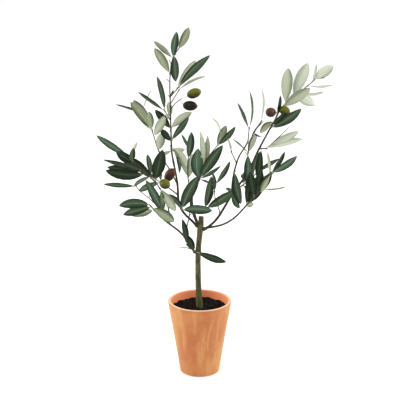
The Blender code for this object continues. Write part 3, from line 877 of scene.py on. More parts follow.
def bark_finish(name, dark, light, furrow, mossy=None):
    """Stretched noise blends dark into light, and a finer one sinks furrows into it."""
    made = Finish(name)
    cloud = made.noise(260.0, stretch=(1, 1, 0.25))
    lines = made.noise(900.0, 4.0, stretch=(1, 1, 0.10))
    speckle = made.noise(1100.0, 2.0)
    colour = made.mix(made.ramp(cloud, 0.35, 0.68), dark, light)
    colour = made.mix(made.ramp(lines, 0.52, 0.72) * 0.75, colour, furrow)
    if mossy:
        low = 1 - made.ramp(made.height(), SOIL_LEVEL * METRES, (SOIL_LEVEL + MOSS_HEIGHT) * METRES)
        spots = made.ramp(speckle, 0.45, 0.60)
        colour = made.mix(low * (0.35 + 0.5 * spots), colour, mossy)
    made.bump(lines * -0.6 + cloud * 0.5 + speckle * 0.2, 0.0006, 0.7)
    return made.set(Base_Color=colour, Roughness=0.62 + 0.2 * speckle, Specular_IOR_Level=0.3)


TRUNK_BARK = bark_finish("trunk_bark", (54, 53, 28), (88, 86, 52), (36, 34, 20), (70, 82, 36))
BOUGH_BARK = bark_finish("bough_bark", (34, 28, 20), (66, 56, 40), (20, 16, 12))
RED_BARK = bark_finish("red_bough_bark", (54, 38, 28), (96, 74, 56), (34, 24, 18))
TWIG_BARK = bark_finish("twig_bark", (44, 38, 26), (84, 76, 50), (26, 22, 16))
print("bark finishes: trunk, boughs, reddish low bough, twigs")

# %% [markdown]
# The trunk's mesh is a tube with a ring each millimetre. Its radius follows the row's radii, with
# a soft swelling where each bough and sprig leaves it, a flare at the soil, and furrows and lumps
# from the lattice noise, sampled at the smooth tube's own points and squeezed along the limb.

# %% Trunk and boughs with relief
KNOT_REACH = 4.0
FLARE_REACH = 4.0
TRUNK_SINK = 2.0
FURROW_SIZE = 1.5
FURROW_SQUEEZE = (1, 1, 0.14)
LUMP_SHARE = 0.6
LUMP_SIZE = 5.0
LUMP_SQUEEZE = (1, 1, 0.3)


class Relief(NamedTuple):
    """A limb's sides and the spacing of its rings, and how high furrows, knots and flare stand."""

    sides: int
    spacing: float
    furrows: float
    knots: float
    flare: float


TRUNK_RELIEF = Relief(56, 1.0, 0.16, 0.5, 0.3)
BOUGH_RELIEF = Relief(20, 1.2, 0.09, 0.35, 0.8)


def bark_rings(path, distances, radii, relief):
    """Rings at an even spacing, pushed out or in by lumps that are stretched along the limb."""
    places = np.arange(distances[0], distances[-1] + relief.spacing / 2, relief.spacing)
    places[-1] = distances[-1]
    line = np.stack([np.interp(places, distances, axis) for axis in path.T], axis=1)
    sizes = np.interp(places, distances, radii)
    smooth = carried_rings(line, sizes, relief.sides)
    grain = lumps(smooth * FURROW_SQUEEZE, FURROW_SIZE, seed=3)
    grain = grain + LUMP_SHARE * lumps(smooth * LUMP_SQUEEZE, LUMP_SIZE, seed=8)
    return carried_rings(line, sizes[:, None] + relief.furrows * grain, relief.sides)


def make_limb(name, start, finish, relief, knots):
    """One limb from a point inside its parent to its tip, as a piece that replaces its node."""
    limb = LIMBS[name]
    path, distances = rooted(start, limb)
    radii = between(limb.radii, np.clip(distances / limb.length, 0, 1))
    radii += swellings(distances, knots, relief.knots, KNOT_REACH)
    radii += relief.flare * np.exp(-np.clip(distances, 0, None) / FLARE_REACH)
    rings = bark_rings(path, distances, radii, relief)
    piece = make_piece(name + "_bark", rings, skin_faces(1, len(rings), relief.sides), [finish])
    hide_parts(name)


knots = [row.at for row in (*BOUGHS.values(), *SPRAYS.values()) if row.on == "trunk"]
make_limb("trunk", LIMBS["trunk"].points[0] - (0, 0, TRUNK_SINK), TRUNK_BARK, TRUNK_RELIEF, knots)
for name, bough in BOUGHS.items():
    start = LIMBS[bough.on].place(bough.at)[0]
    finish = RED_BARK if name == "left_low_bough" else BOUGH_BARK
    knots = [spray.at for spray in SPRAYS.values() if spray.on == name and spray.at != TIP]
    make_limb(name, start, finish, BOUGH_RELIEF, knots)

# %% [markdown]
# Every spray is grown from its rows: first its stem, then its side twigs, and on each of them its
# leaves and olives. What a row leaves open, such as a leaf's exact width and how much it curls,
# is drawn from a random series seeded with the spray's name, so each spray keeps its own habit.
# Sprays at the back, which the front view hides, have opposite pairs of leaves by a rule.

# %% Grow the sprays
LEAF_WIDTH_SHARE = 0.24
LEAF_WIDTH_SPREAD = (0.9, 1.1)
LEAF_CURL = (8.0, 26.0)
LEAF_WAVER = 8.0
PAIR_LENGTH = (46.0, 60.0)
PAIR_ANGLE = (28.0, 44.0)
PAIR_TURN = (65.0, 100.0)
PAIR_FACE = (-60.0, 60.0)
TWIG_TIP_RADIUS = 0.75
OLIVE_LENGTH = 27.0
OLIVE_WIDTH = 18.5
OLIVE_STALK_RADIUS = 0.6
OLIVE_STALK_SINK = 2.0


class Blade(NamedTuple):
    """A leaf with all that its row left open: where it starts, and its drawn width and bends."""

    base: np.ndarray
    leaf: Leaf
    width: float
    curl: float
    sweep: float


class Stem(NamedTuple):
    """A twig's centre line with the point inside its parent, and where its leaves join it."""

    limb: Limb
    root: np.ndarray
    nodes: list


def paired_leaves(stem, pairs, dice):
    """Leaves in opposite pairs along a stem, each pair turned on from the last."""
    turn = dice.uniform(0, 180)
    leaves = []
    for at in range(pairs.first, pairs.last + 1, pairs.step):
        _, along, _ = stem.place(at)
        beside = np.array(Vector(along).orthogonal().normalized())
        swing = math.radians(turn)
        across = math.cos(swing) * beside + math.sin(swing) * np.cross(along, beside)
        for side in (across, -across):
            spread = math.radians(dice.uniform(*PAIR_ANGLE))
            ahead = along * math.cos(spread) + side * math.sin(spread)
            heading = math.degrees(math.atan2(ahead[2], ahead[0]))
            lean = math.degrees(math.asin(-ahead[1]))
            length = dice.uniform(*PAIR_LENGTH)
            leaves.append(Leaf(at, heading, lean, length, dice.uniform(*PAIR_FACE)))
        turn += dice.uniform(*PAIR_TURN)
    return leaves


def grow_spray(name, spray):
    """The stems, blades and olives of one spray."""
    dice = random.Random(name)
    stems, blades, fruit = [], [], []
    for twig in spray.twigs:
        if stems:
            root = stems[0].limb.place(twig.at)[0]
            start = root
        else:
            parent = LIMBS[spray.on]
            root = parent.place(parent.length if spray.at == TIP else spray.at)[0]
            start = seat(parent, spray.at, direction(twig.headings[0], twig.leans[0]), twig.radius)
        limb = Limb(start, twig.headings, twig.leans, twig.length, (twig.radius, TWIG_TIP_RADIUS))
        leaves = list(twig.leaves)
        if twig.pairs:
            leaves += paired_leaves(limb, twig.pairs, dice)
        stems.append(Stem(limb, root, [leaf.at for leaf in leaves]))
        for leaf in leaves:
            width = dice.uniform(*LEAF_WIDTH_SPREAD) * LEAF_WIDTH_SHARE * leaf.length
            curl = dice.uniform(*LEAF_CURL)
            sweep = leaf.sweep + dice.uniform(-LEAF_WAVER, LEAF_WAVER)
            blades.append(Blade(limb.place(leaf.at)[0], leaf, leaf.width or width, curl, sweep))
        for olive in twig.olives:
            base = limb.place(olive.at)[0]
            radii = (OLIVE_STALK_RADIUS,)
            stalk = Limb(base, olive.headings, olive.leans, olive.stalk, radii)
            fruit.append((olive, stalk))
    return stems, blades, fruit


GROWN = {name: grow_spray(name, spray) for name, spray in SPRAYS.items()}
print("leaves:", sum(len(blades) for _, blades, _ in GROWN.values()))
print("olives:", sum(len(fruit) for _, _, fruit in GROWN.values()))

# %% [markdown]
# Twigs are thin tubes with a small swelling at each leaf. They are carried on to finer growth
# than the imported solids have: a pointed bud sits above each leaf's stalk and at each twig's end,
# and longer stems bear short spurs, all by a seeded rule. Each tube is skinned by itself, and
# the tubes of one group of sprays are joined into one mesh.

# %% Twigs, spurs and buds
TWIG_SIDES = 10
NODE_SWELLING = 0.4
NODE_REACH = 2.2
BUD_SIDES = 6
BUD_LENGTH = 3.2
BUD_RADII = (0.5, 0.95, 0.8, 0.15)
BUD_SINK = 0.5
BUD_SLANT = 0.8
BUD_OUT_SHARE = 0.6
SPUR_SPACING = 34.0
SPUR_STRAY = 6.0
SPUR_LENGTH = (4.0, 8.0)
SPUR_RADII = (0.75, 0.5)
SPUR_SLANT = 1.1
SPUR_RINGS = 5


def joined(parts):
    """Several stacks of rings as one array of points and one list of faces."""
    points, faces, count = [], [], 0
    for rings in parts:
        skin = skin_faces(1, *rings.shape[:2])
        faces += [[corner + count for corner in face] for face in skin]
        points.append(rings.reshape(-1, 3))
        count += len(points[-1])
    return np.concatenate(points), faces


def bud_rings(base, ahead):
    """A pointed bud: a short straight line with radii that swell and then close."""
    line = base + np.linspace(0, BUD_LENGTH, len(BUD_RADII))[:, None] * ahead
    return carried_rings(line, BUD_RADII, BUD_SIDES)


def slanted(along, slant, dice):
    """A direction that leans out from a twig to a random side."""
    aside = np.cross(along, [dice.uniform(-1, 1) for _ in range(3)])
    return unit(along + slant * unit(aside))


def twig_rings(stem, dice):
    """The rings of a stem, its buds and its spurs."""
    limb = stem.limb
    path, distances = rooted(stem.root, limb)
    radii = between(limb.radii, np.clip(distances / limb.length, 0, 1))
    radii += swellings(distances, stem.nodes, NODE_SWELLING, NODE_REACH)
    tip, along, _ = limb.place(limb.length)
    parts = [carried_rings(path, radii, TWIG_SIDES), bud_rings(tip - along * BUD_SINK, along)]
    for at in stem.nodes:
        point, along, radius = limb.place(at)
        ahead = slanted(along, BUD_SLANT, dice)
        parts.append(bud_rings(point + ahead * radius * BUD_OUT_SHARE, ahead))
    share = np.linspace(0, 1, SPUR_RINGS)
    for at in np.arange(SPUR_SPACING, limb.length - SPUR_SPACING / 2, SPUR_SPACING):
        point, along, _ = limb.place(at + dice.uniform(-SPUR_STRAY, SPUR_STRAY))
        ahead = slanted(along, SPUR_SLANT, dice)
        line = point + share[:, None] * dice.uniform(*SPUR_LENGTH) * ahead
        parts.append(carried_rings(line, between(SPUR_RADII, share), BUD_SIDES))
        parts.append(bud_rings(line[-1] - ahead * BUD_SINK, ahead))
    return parts


for group, sprays in GROUPS.items():
    dice = random.Random(group)
    stems = [stem for name in sprays for stem in GROWN[name][0]]
    points, faces = joined([rings for stem in stems for rings in twig_rings(stem, dice)])
    piece = make_piece(group + "_twigs", points, faces, [TWIG_BARK])
    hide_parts(*sprays)

# %% [markdown]
# An olive leaf is long and narrow, widest near its middle, folded a little along its rib and
# bowed from end to end. On the artificial one the upper side is printed dark green with a pale
# rib and fine veins, and the underside is a pale sage. Each leaf's mesh is a stack of flat rings
# that run over its upper side and back under it, so it is a closed thin blade.
# All the leaves of a group are worked out together, as arrays of leaf by ring by point.

# %% The shape of the blades
LEAF_STALK_SHARE = 0.06
LEAF_FOLD = math.radians(16.0)
LEAF_HALF_THICKNESS = 0.22
LEAF_LEAST_HALF_WIDTH = 0.35
LEAF_MARGIN_WAVE = 0.4
LEAF_MARGIN_WAVES = 2.1
FULL_WAVE_HALF_WIDTH = 6.0
LEAF_RISE = 0.85
LEAF_FALL = 0.75
LEAF_STATIONS = np.array([0.05, 0.09, 0.17, 0.29, 0.42, 0.56, 0.70, 0.83, 0.93, 0.985, 1.0])
OVER_AND_UNDER = np.array([-1.0, -0.5, 0.0, 0.5, 1.0, 0.0])
UPPER_SIDE = np.array([0.0, 1.0, 1.0, 1.0, 0.0, -1.0])
UPPER_FACES = 4


def column(values):
    """Numbers, one for each leaf, shaped so that they multiply arrays of leaf by share by axis."""
    return np.asarray(values, float)[:, None, None]


class BladeLines:
    """The rib lines of many leaves, and the axes of their blades at any share of the length."""

    def __init__(self, blades):
        leaves = [blade.leaf for blade in blades]
        self.base = np.array([blade.base for blade in blades])[:, None]
        self.length = column([leaf.length for leaf in leaves])
        self.width = column([blade.width for blade in blades])
        self.curl = np.radians(column([blade.curl for blade in blades]))
        self.sweep = np.radians(column([blade.sweep for blade in blades]))
        self.face = np.radians(column([leaf.face for leaf in leaves]))
        headings = np.array([leaf.heading for leaf in leaves])
        self.axis = direction(headings, np.array([leaf.lean for leaf in leaves]))[:, None]
        front = np.array([0.0, -1.0, 0.0])
        self.facing = unit(front - self.axis * (self.axis @ front)[..., None])
        self.across = np.cross(self.axis, self.facing)

    def axes(self, shares):
        """(ahead, side, up): the axis swung by the sweep, turned by the face and bowed by the curl."""
        middle = (np.asarray(shares) - 0.5)[None, :, None]
        swing = self.sweep * middle
        chord = self.axis * np.cos(swing) + self.across * np.sin(swing)
        along_chord = (chord * self.facing).sum(axis=-1, keepdims=True)
        normal = (
            self.facing * np.cos(self.face)
            + np.cross(chord, np.broadcast_to(self.facing, chord.shape)) * np.sin(self.face)
            + chord * along_chord * (1 - np.cos(self.face))
        )
        bend = self.curl * middle
        ahead = chord * np.cos(bend) - normal * np.sin(bend)
        up = normal * np.cos(bend) + chord * np.sin(bend)
        return ahead, np.cross(ahead, up), up

    def points(self, shares):
        """The rib line: steps along `ahead`, taken midway between shares, added up from the base."""
        edges = np.concatenate([[0.0], shares])
        ahead, _, _ = self.axes((edges[:-1] + edges[1:]) / 2)
        return self.base + np.cumsum(ahead * np.diff(edges)[None, :, None] * self.length, axis=1)


def outline(share):
    """Width along the blade, 1 at its widest: share^rise times (1 - share)^fall."""
    widest = LEAF_RISE / (LEAF_RISE + LEAF_FALL)
    return (share / widest) ** LEAF_RISE * ((1 - share) / (1 - widest)) ** LEAF_FALL


def blade_rings(blades, phase):
    """Rings over and under each blade: rib + half width · across, lifted by the fold and a wave."""
    lines = BladeLines(blades)
    rib = lines.points(LEAF_STATIONS)[:, :, None]
    _, side, up = (axes[:, :, None] for axes in lines.axes(LEAF_STATIONS))
    inner = np.clip((LEAF_STATIONS - LEAF_STALK_SHARE) / (1 - LEAF_STALK_SHARE), 0.001, 0.999)
    half = 0.5 * lines.width * outline(inner)[:, None]
    half = np.maximum(half, LEAF_LEAST_HALF_WIDTH)[..., None]
    across = OVER_AND_UNDER[:, None]
    wave = np.sin(math.tau * (LEAF_MARGIN_WAVES * LEAF_STATIONS + phase[:, None]))[..., None, None]
    lift = half * math.sin(LEAF_FOLD) * np.abs(across)
    lift = lift + LEAF_MARGIN_WAVE * wave * across * np.minimum(half / FULL_WAVE_HALF_WIDTH, 1)
    thick = LEAF_HALF_THICKNESS * UPPER_SIDE[:, None]
    return rib + side * half * across * math.cos(LEAF_FOLD) + up * (lift + thick)


print("widest at", round(LEAF_RISE / (LEAF_RISE + LEAF_FALL), 2), "of the blade's length")

# %% [markdown]
# The finish of a leaf follows the leaf, and so it reads numbers that each point carries: how far
# along the blade it is, how far across from the rib, and a tone that is the leaf's own. The rib
# is a pale line that fades towards the tip, in a softly paler middle that is a painted sheen, and
# the margin is darker.
# One half of a folded blade is painted darker than the other, a painted shade of the fold, by an amount
# that follows the tone.
# Side veins leave the rib at a slant: lines of equal along minus across, made by a sine. Noise
# drawn out along the blade gives faint streaks, and the foot of each blade fades to cream.

# %% Leaf finishes
VEIN_PAIRS = 13.0
VEIN_SLANT = 1.7
LEAF_FOOT = (172, 180, 148)
UPPER_GREENS = {
    "deep": ("leaf_deepest_green", (12, 24, 12), (34, 50, 28), (92, 106, 78), 0.5, 0.2, 0.5),
    "dark": ("leaf_dark_green", (18, 34, 20), (58, 78, 54), (128, 144, 116), 0.6, 0.25, 0.5),
    "blue": ("leaf_bluish_green", (24, 44, 31), (72, 96, 74), (140, 158, 132), 0.6, 0.3, 0.5),
    "mid": ("leaf_mid_green", (40, 58, 34), (98, 116, 82), (160, 172, 140), 0.6, 0.3, 0.5),
}
UNDER_GREENS = {
    "sage": ("leaf_sage_underside", (86, 96, 68), (150, 158, 128), (190, 196, 170), 0.6, 0.25, 0.65),
    "pale": ("leaf_pale_underside", (126, 134, 110), (184, 190, 166), (212, 216, 196), 0.6, 0.2, 0.65),
    # The palest underside is partly painted light: it lightens leaves that lie in shade.
    "palest_and_lit": ("leaf_palest_lit_underside", (160, 168, 146), (206, 212, 192), (226, 230, 214), 0.6, 0.2, 0.65),
}
GREENS = UPPER_GREENS | UNDER_GREENS


def leaf_finish(name, deep, light, pale, rib_share, vein_share, roughness):
    """A blend of two grounds by streaks and the leaf's tone, with pale side veins and rib."""
    made = Finish(name)
    along = made.attribute("along")
    side = made.attribute("across")
    across = abs(side)
    tone = made.attribute("tone")
    where = made.node("CombineXYZ", {"X": along * 4, "Y": across * 5, "Z": tone * 60})
    streaks = made.noise(1.6, 4.0, 0.6, where=where)
    phase = along * VEIN_PAIRS - across * VEIN_SLANT + streaks * 0.5
    veins = made.ramp(made.math("SINE", phase * math.tau), 0.45, 1.0) * (1 - across)
    rib = (1 - made.ramp(across, 0.03, 0.16)) * (1 - 0.6 * along)
    # Painted sheen: the blade is paler along its middle.
    middle = 1 - made.ramp(across, 0.15, 0.85)
    margin = made.ramp(across, 0.7, 1.0)
    # Painted shade: one half of the folded blade darker than the other.
    fold_painted_shade = side * (tone - 0.5) * 0.9
    lightness = streaks * 0.5 + tone * 0.2 + middle * 0.3 - margin * 0.15 + fold_painted_shade
    colour = made.mix(made.ramp(lightness, 0.15, 0.8), deep, light)
    colour = made.mix(veins * vein_share, colour, pale)
    colour = made.mix(rib * rib_share, colour, pale)
    colour = made.mix((1 - made.ramp(along, 0.05, 0.16)) * 0.7, colour, LEAF_FOOT)
    made.bump(veins * 0.3 - rib + streaks * 0.3, 0.0004, 0.6)
    made.set(Roughness=roughness + 0.12 * streaks, Specular_IOR_Level=0.14)
    return made.set(Base_Color=colour)


LEAF_FINISHES = [leaf_finish(*green) for green in GREENS.values()]
print("leaf finishes:", ", ".join(GREENS))

# %% [markdown]
# The moulded sprays of such a plant are printed in a few greens. Each spray is dealt one green
# for its upper sides and one for its undersides, and a few leaves differ from their spray. The
# palest underside green is partly painted light: it lightens leaves that lie in shade. The
# leaves of a group are then joined into one mesh whose faces point to these finishes.

# %% Make the leaves
USUAL_TINTS = ("dark", "sage")


def leaf_tints(spray_tints, leaf):
    """Which finishes a leaf's two sides have: its spray's, or its own where it has one."""
    upper, under = spray_tints or USUAL_TINTS
    if leaf.tint in UPPER_GREENS:
        upper = leaf.tint
    elif leaf.tint in UNDER_GREENS:
        under = leaf.tint
    return list(GREENS).index(upper), list(GREENS).index(under)


for group, sprays in GROUPS.items():
    rows = [(sprays[name].tints, blade) for name in sprays for blade in GROWN[name][1]]
    upper, under = np.array([leaf_tints(tints, blade.leaf) for tints, blade in rows]).T
    dice = np.random.default_rng(len(rows))
    tone = dice.random(len(rows))
    rings = blade_rings([blade for _, blade in rows], dice.random(len(rows)))
    shape = rings.shape[:3]
    is_upper = np.arange(shape[2]) < UPPER_FACES
    bands = np.where(is_upper, upper[:, None, None], under[:, None, None])
    bands = np.broadcast_to(bands, (shape[0], shape[1] - 1, shape[2])).ravel()
    indices = np.concatenate([bands, np.repeat(under, 2)]).astype(np.int32)
    piece = make_piece(
        group + "_leaves", rings, skin_faces(*shape), LEAF_FINISHES, indices, sharp=60.0,
        along=np.broadcast_to(LEAF_STATIONS[:, None], shape),
        across=np.broadcast_to(OVER_AND_UNDER, shape),
        tone=np.broadcast_to(tone[:, None, None], shape),
    )
    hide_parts(*sprays)

# %% [markdown]
# A leaf sits on a short pale stalk, which runs on under the blade as its rib. It is one thin
# tapering tube for each leaf, half sunk into the underside, and it gives the underside its ridge.
# The radius falls off as a small constant plus an exponential.

# %% Leaf stalks and ribs
STALK_SHARES = np.array([0.0, 0.04, 0.08, 0.14, 0.26, 0.5, 0.86])
STALK_SIDES = 5
STALK_SUNK = 0.28
STALK_SUNK_FROM = 0.1
RIB_RADIUS = 0.15
STALK_EXTRA_RADIUS = 0.6
STALK_TAPER = 0.13


def stalk_finish(name, pale, green):
    """Pale where the stalk leaves the twig, greener along the rib."""
    made = Finish(name)
    grain = made.noise(500.0)
    share = made.ramp(made.attribute("along") + grain * 0.1, 0.05, 0.35)
    made.bump(grain, 0.0002, 0.4)
    made.set(Roughness=0.6 + 0.1 * grain, Specular_IOR_Level=0.25)
    return made.set(Base_Color=made.mix(share, pale, green))


STALK_FINISH = stalk_finish("leaf_stalk", (196, 200, 168), (168, 178, 146))


def stalk_rings(blades):
    """Rings round each rib line, lowered to the blade's underside once past the stalk."""
    lines = BladeLines(blades)
    rib = np.concatenate([lines.base, lines.points(STALK_SHARES[1:])], axis=1)
    _, side, up = lines.axes(STALK_SHARES)
    sunk = STALK_SUNK * np.clip(STALK_SHARES / STALK_SUNK_FROM, 0, 1)[:, None]
    radius = RIB_RADIUS + STALK_EXTRA_RADIUS * np.exp(-STALK_SHARES / STALK_TAPER)
    cos, sin = (values[:, None] for values in circle(STALK_SIDES))
    round_the_rib = cos * side[:, :, None] - sin * up[:, :, None]
    return (rib - up * sunk)[:, :, None] + radius[:, None, None] * round_the_rib


for group, sprays in GROUPS.items():
    rings = stalk_rings([blade for name in sprays for blade in GROWN[name][1]])
    shape = rings.shape[:3]
    along = np.broadcast_to(STALK_SHARES[:, None], shape)
    piece = make_piece(group + "_leaf_stalks", rings, skin_faces(*shape), [STALK_FINISH], along=along)
    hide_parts(*sprays)

# %% [markdown]
# The olives are glossy moulded fruit: some still green, some turning brown, one nearly black.
# Each is a turned egg shape with a small point at its far end, on a thin bent stalk. Painted
# shade darkens each fruit below and painted light brightens it above, so each point carries how
# far up the fruit it is.
# Soft mottling breaks the blend, with pale flecks like those on the skin of the real fruit.

# %% Olives
OLIVE_RINGS = 22
OLIVE_SIDES = 28
OLIVE_ENDS = (0.08, math.pi - 0.05)
OLIVE_FULLNESS = 0.96
OLIVE_POINT = 0.9
OLIVE_POINT_REACH = 0.28
OLIVE_STALK_SIDES = 8
OLIVE_GLOSS = 0.2


def olive_finish(name, below, above, fleck):
    """Painted shade below blending up into painted light above, pushed about by noise, with small flecks
    and a thin clear gloss.
    """
    made = Finish(name)
    cloud = made.noise(110.0, 4.0)
    spots = made.ramp(made.noise(900.0, 1.0), 0.62, 0.72)
    # Painted shade and light: darker low on the fruit, lighter high on it.
    rise = made.attribute("rise") + cloud * 0.5
    colour = made.mix(made.ramp(rise, 0.5, 1.15), below, above)
    made.bump(cloud * 0.6 + spots * 0.2, 0.0003, 0.5)
    made.set(Roughness=0.45, Specular_IOR_Level=0.1, Coat_Weight=OLIVE_GLOSS, Coat_Roughness=0.04)
    return made.set(Base_Color=made.mix(spots * 0.3, colour, fleck))


# Each olive's colours are its painted shade below, its painted light above, and its flecks.
OLIVE_FINISHES = {
    "green": olive_finish("olive_green", (22, 20, 2), (100, 100, 12), (150, 148, 66)),
    "brown": olive_finish("olive_brown", (10, 3, 1), (82, 44, 28), (150, 104, 72)),
    "dark": olive_finish("olive_dark", (2, 1, 1), (26, 15, 14), (84, 60, 56)),
}


def olive_rings(centre, along):
    """Rings across the long axis: radius half width · sin t, at half length · -cos t, with a point."""
    turn = np.linspace(*OLIVE_ENDS, OLIVE_RINGS)
    point = OLIVE_POINT * np.exp(-(((math.pi - turn) / OLIVE_POINT_REACH) ** 2))
    line = centre + (-np.cos(turn) * OLIVE_LENGTH / 2 + point)[:, None] * along
    return carried_rings(line, np.sin(turn) ** OLIVE_FULLNESS * OLIVE_WIDTH / 2, OLIVE_SIDES)


fruit_parts, fruit_indices, fruit_shading_height, stalk_parts = [], [], [], []
for _, _, fruit in GROWN.values():
    for olive, stalk in fruit:
        along = direction(olive.heading, olive.lean)
        centre = stalk.points[-1] + along * (OLIVE_LENGTH / 2 - OLIVE_STALK_SINK)
        fruit_parts.append(olive_rings(centre, along))
        index = list(OLIVE_FINISHES).index(olive.ripeness)
        fruit_indices.append(np.full((OLIVE_RINGS - 1) * OLIVE_SIDES + 2, index, np.int32))
        # How far up the fruit each point is, which sets its painted shade and light.
        height = fruit_parts[-1][..., 2].ravel()
        fruit_shading_height.append((height - height.min()) / np.ptp(height))
        radii = np.full(len(stalk.points), OLIVE_STALK_RADIUS)
        stalk_parts.append(carried_rings(stalk.points, radii, OLIVE_STALK_SIDES))
points, faces = joined(fruit_parts)
olives = make_piece(
    "olives", points, faces, list(OLIVE_FINISHES.values()), np.concatenate(fruit_indices),
    sharp=60.0, rise=np.concatenate(fruit_shading_height),
)
fruiting = [name for name, (_, _, fruit) in GROWN.items() if fruit]
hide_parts(*fruiting)
points, faces = joined(stalk_parts)
along = np.full(len(points), 0.1)
olive_stalks = make_piece("olive_stalks", points, faces, [STALK_FINISH], along=along)
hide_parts(*fruiting)

# %% [markdown]
# The pot is fired clay in the plain tapered form, turned on a wheel or pressed in a mould. Its
# lip and foot are rounded. A lathe makes it: one profile is carried round the upright axis. The
# profile is written from the pot's named sizes, and then divided finely. The turning leaves faint
# rings and the clay a slight unevenness, both of which move the wall by about a tenth of a
# millimetre, so the pot's outline stays true.

# %% Turn the pot
RIM_RADIUS = 61.0
FOOT_RADIUS = 38.0
WALL = 6.5
FLOOR = 8.0
LIP_ROUND = 3.0
FOOT_ROUND = 3.0
NEAR_AXIS = 0.5
POT_SIDES = 192
PROFILE_STEP = 2.0
INSIDE_FROM = 4
TURNING_MARKS = 0.05
TURNING_WAVES = 2.3
TURNING_DRIFT = 1.5
TURNING_DRIFT_WAVES = 0.21
POT_LUMPS = ((0.22, 26.0, 1), (0.08, 7.0, 2))
SMOOTH_FOOT = 6.0


def inner_radius(height):
    """The radius of the pot's hollow: the outer wall's taper, one wall thickness further in."""
    return RIM_RADIUS - WALL - (POT_HEIGHT - height) * (RIM_RADIUS - FOOT_RADIUS) / POT_HEIGHT


def quarter_round(centre, radius, first, last, count=7):
    """Points (radius, height) round a corner, between two angles in degrees."""
    angle = np.radians(np.linspace(first, last, count))
    return np.stack([centre[0] + radius * np.cos(angle), centre[1] + radius * np.sin(angle)], 1)


def divided(profile, step):
    """The profile with points no further apart than a step, each spaced evenly in its stretch."""
    stretches = [profile[:1]]
    for start, end in zip(profile, profile[1:]):
        count = max(1, round(float(np.linalg.norm(end - start)) / step))
        stretches.append(start + (end - start) * (np.arange(1, count + 1) / count)[:, None])
    return np.concatenate(stretches)


def lathe_rings(profile, sides):
    """Rings of points round the upright axis, one for each (radius, height) of the profile."""
    cos, sin = circle(sides)
    radius, height = profile[:, :1], profile[:, 1:]
    return np.stack(np.broadcast_arrays(radius * cos, radius * sin, height), axis=-1)


lip_height = POT_HEIGHT - LIP_ROUND
inner_lip = inner_radius(POT_HEIGHT) + LIP_ROUND
pot_corners = [
    [(NEAR_AXIS, 0.0)],
    quarter_round((FOOT_RADIUS - FOOT_ROUND, FOOT_ROUND), FOOT_ROUND, -90, 0),
    quarter_round((RIM_RADIUS - LIP_ROUND, lip_height), LIP_ROUND, 0, 90),
    quarter_round((inner_lip, lip_height), LIP_ROUND, 90, 180),
    [(inner_radius(FLOOR), FLOOR), (NEAR_AXIS, FLOOR)],
]
pot_profile = divided(np.concatenate(pot_corners), PROFILE_STEP)
pot_rings = lathe_rings(pot_profile, POT_SIDES)
heights = pot_profile[:, 1:]
drift = TURNING_DRIFT * np.sin(heights * TURNING_DRIFT_WAVES)
turning = TURNING_MARKS * np.sin(heights * TURNING_WAVES + drift)
off_foot = np.clip(heights / SMOOTH_FOOT, 0, 1)
swell = 1 + off_foot * (turning + layered(pot_rings, POT_LUMPS)) / RIM_RADIUS
pot_rings[..., :2] *= swell[..., None]


def clay_finish(name):
    """Terracotta: mottled and streaked upwards, paler along the top of the lip, redder inside."""
    made = Finish(name)
    cloud = made.noise(16.0, 5.0, 0.6)
    streaks = made.noise(75.0, 4.0, stretch=(1, 1, 0.12))
    grain = made.noise(700.0)
    pits = made.ramp(made.noise(420.0, 2.0), 0.66, 0.74)
    # A paler band along the top of the lip.
    lip_band = made.ramp(made.height(), (POT_HEIGHT - 1.6) * METRES, (POT_HEIGHT - 0.4) * METRES)
    colour = made.mix(made.ramp(cloud, 0.36, 0.64), (174, 102, 60), (186, 124, 74))
    colour = made.mix(made.ramp(streaks, 0.48, 0.68) * 0.6, colour, (202, 146, 92))
    colour = made.mix(made.ramp(grain, 0.45, 0.75) * 0.3, colour, (160, 90, 54))
    colour = made.mix(made.attribute("inside") * 0.85, colour, (238, 138, 96))
    colour = made.mix(lip_band * 0.7, colour, (236, 194, 160))
    made.bump(cloud * 0.3 + grain * 0.25 - pits * 0.5, 0.0004, 0.5)
    made.set(Sheen_Weight=0.45, Sheen_Roughness=0.45, Sheen_Tint=swatch((232, 224, 160)))
    return made.set(Base_Color=colour, Roughness=0.72 + 0.12 * grain, Specular_IOR_Level=0.3)


CLAY = clay_finish("terracotta")
inside = np.zeros(len(pot_profile))
inside[np.argmax(pot_profile[:, 1]) + INSIDE_FROM:] = 1.0
pot = make_piece(
    "pot_terracotta", pot_rings, skin_faces(1, len(pot_rings), POT_SIDES), [CLAY], sharp=40.0,
    inside=np.repeat(inside, POT_SIDES),
)
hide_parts("pot")

# %% [markdown]
# The filling is dark potting mix, near black and crumbly, a little below the rim. It is a turned
# body whose top is broken up by lumps of three sizes, and it rises raggedly at the wall.
# Loose crumbs of bark and peat lie on it. They are small twenty-sided stones with pushed corners,
# scattered by a seeded series and joined into one mesh, so the dark mass has real shadows in it.

# %% Fill the pot with potting mix
SOIL_GAP = 0.6
SOIL_SIDES = 160
SOIL_RINGS = 46
SOIL_LUMPS = ((1.1, 15.0, 4), (0.9, 6.0, 5), (0.5, 2.5, 6))
WALL_RISE = 1.2
WALL_RISE_LUMPS = ((2.6, 4.5, 7),)
WALL_RISE_REACH = 3.0
DEEPEST_DIP = -0.4
CRUMBS = 1500
CRUMB_SEED = 11
CRUMB_SIZE = (0.9, 3.6)
CRUMB_STRETCH = (0.55, 1.15)
CRUMB_ROUGHNESS = 0.22
CRUMB_SINK = 0.25
CRUMB_WALL_GAP = 2.0
BARK_SHARE = 0.3

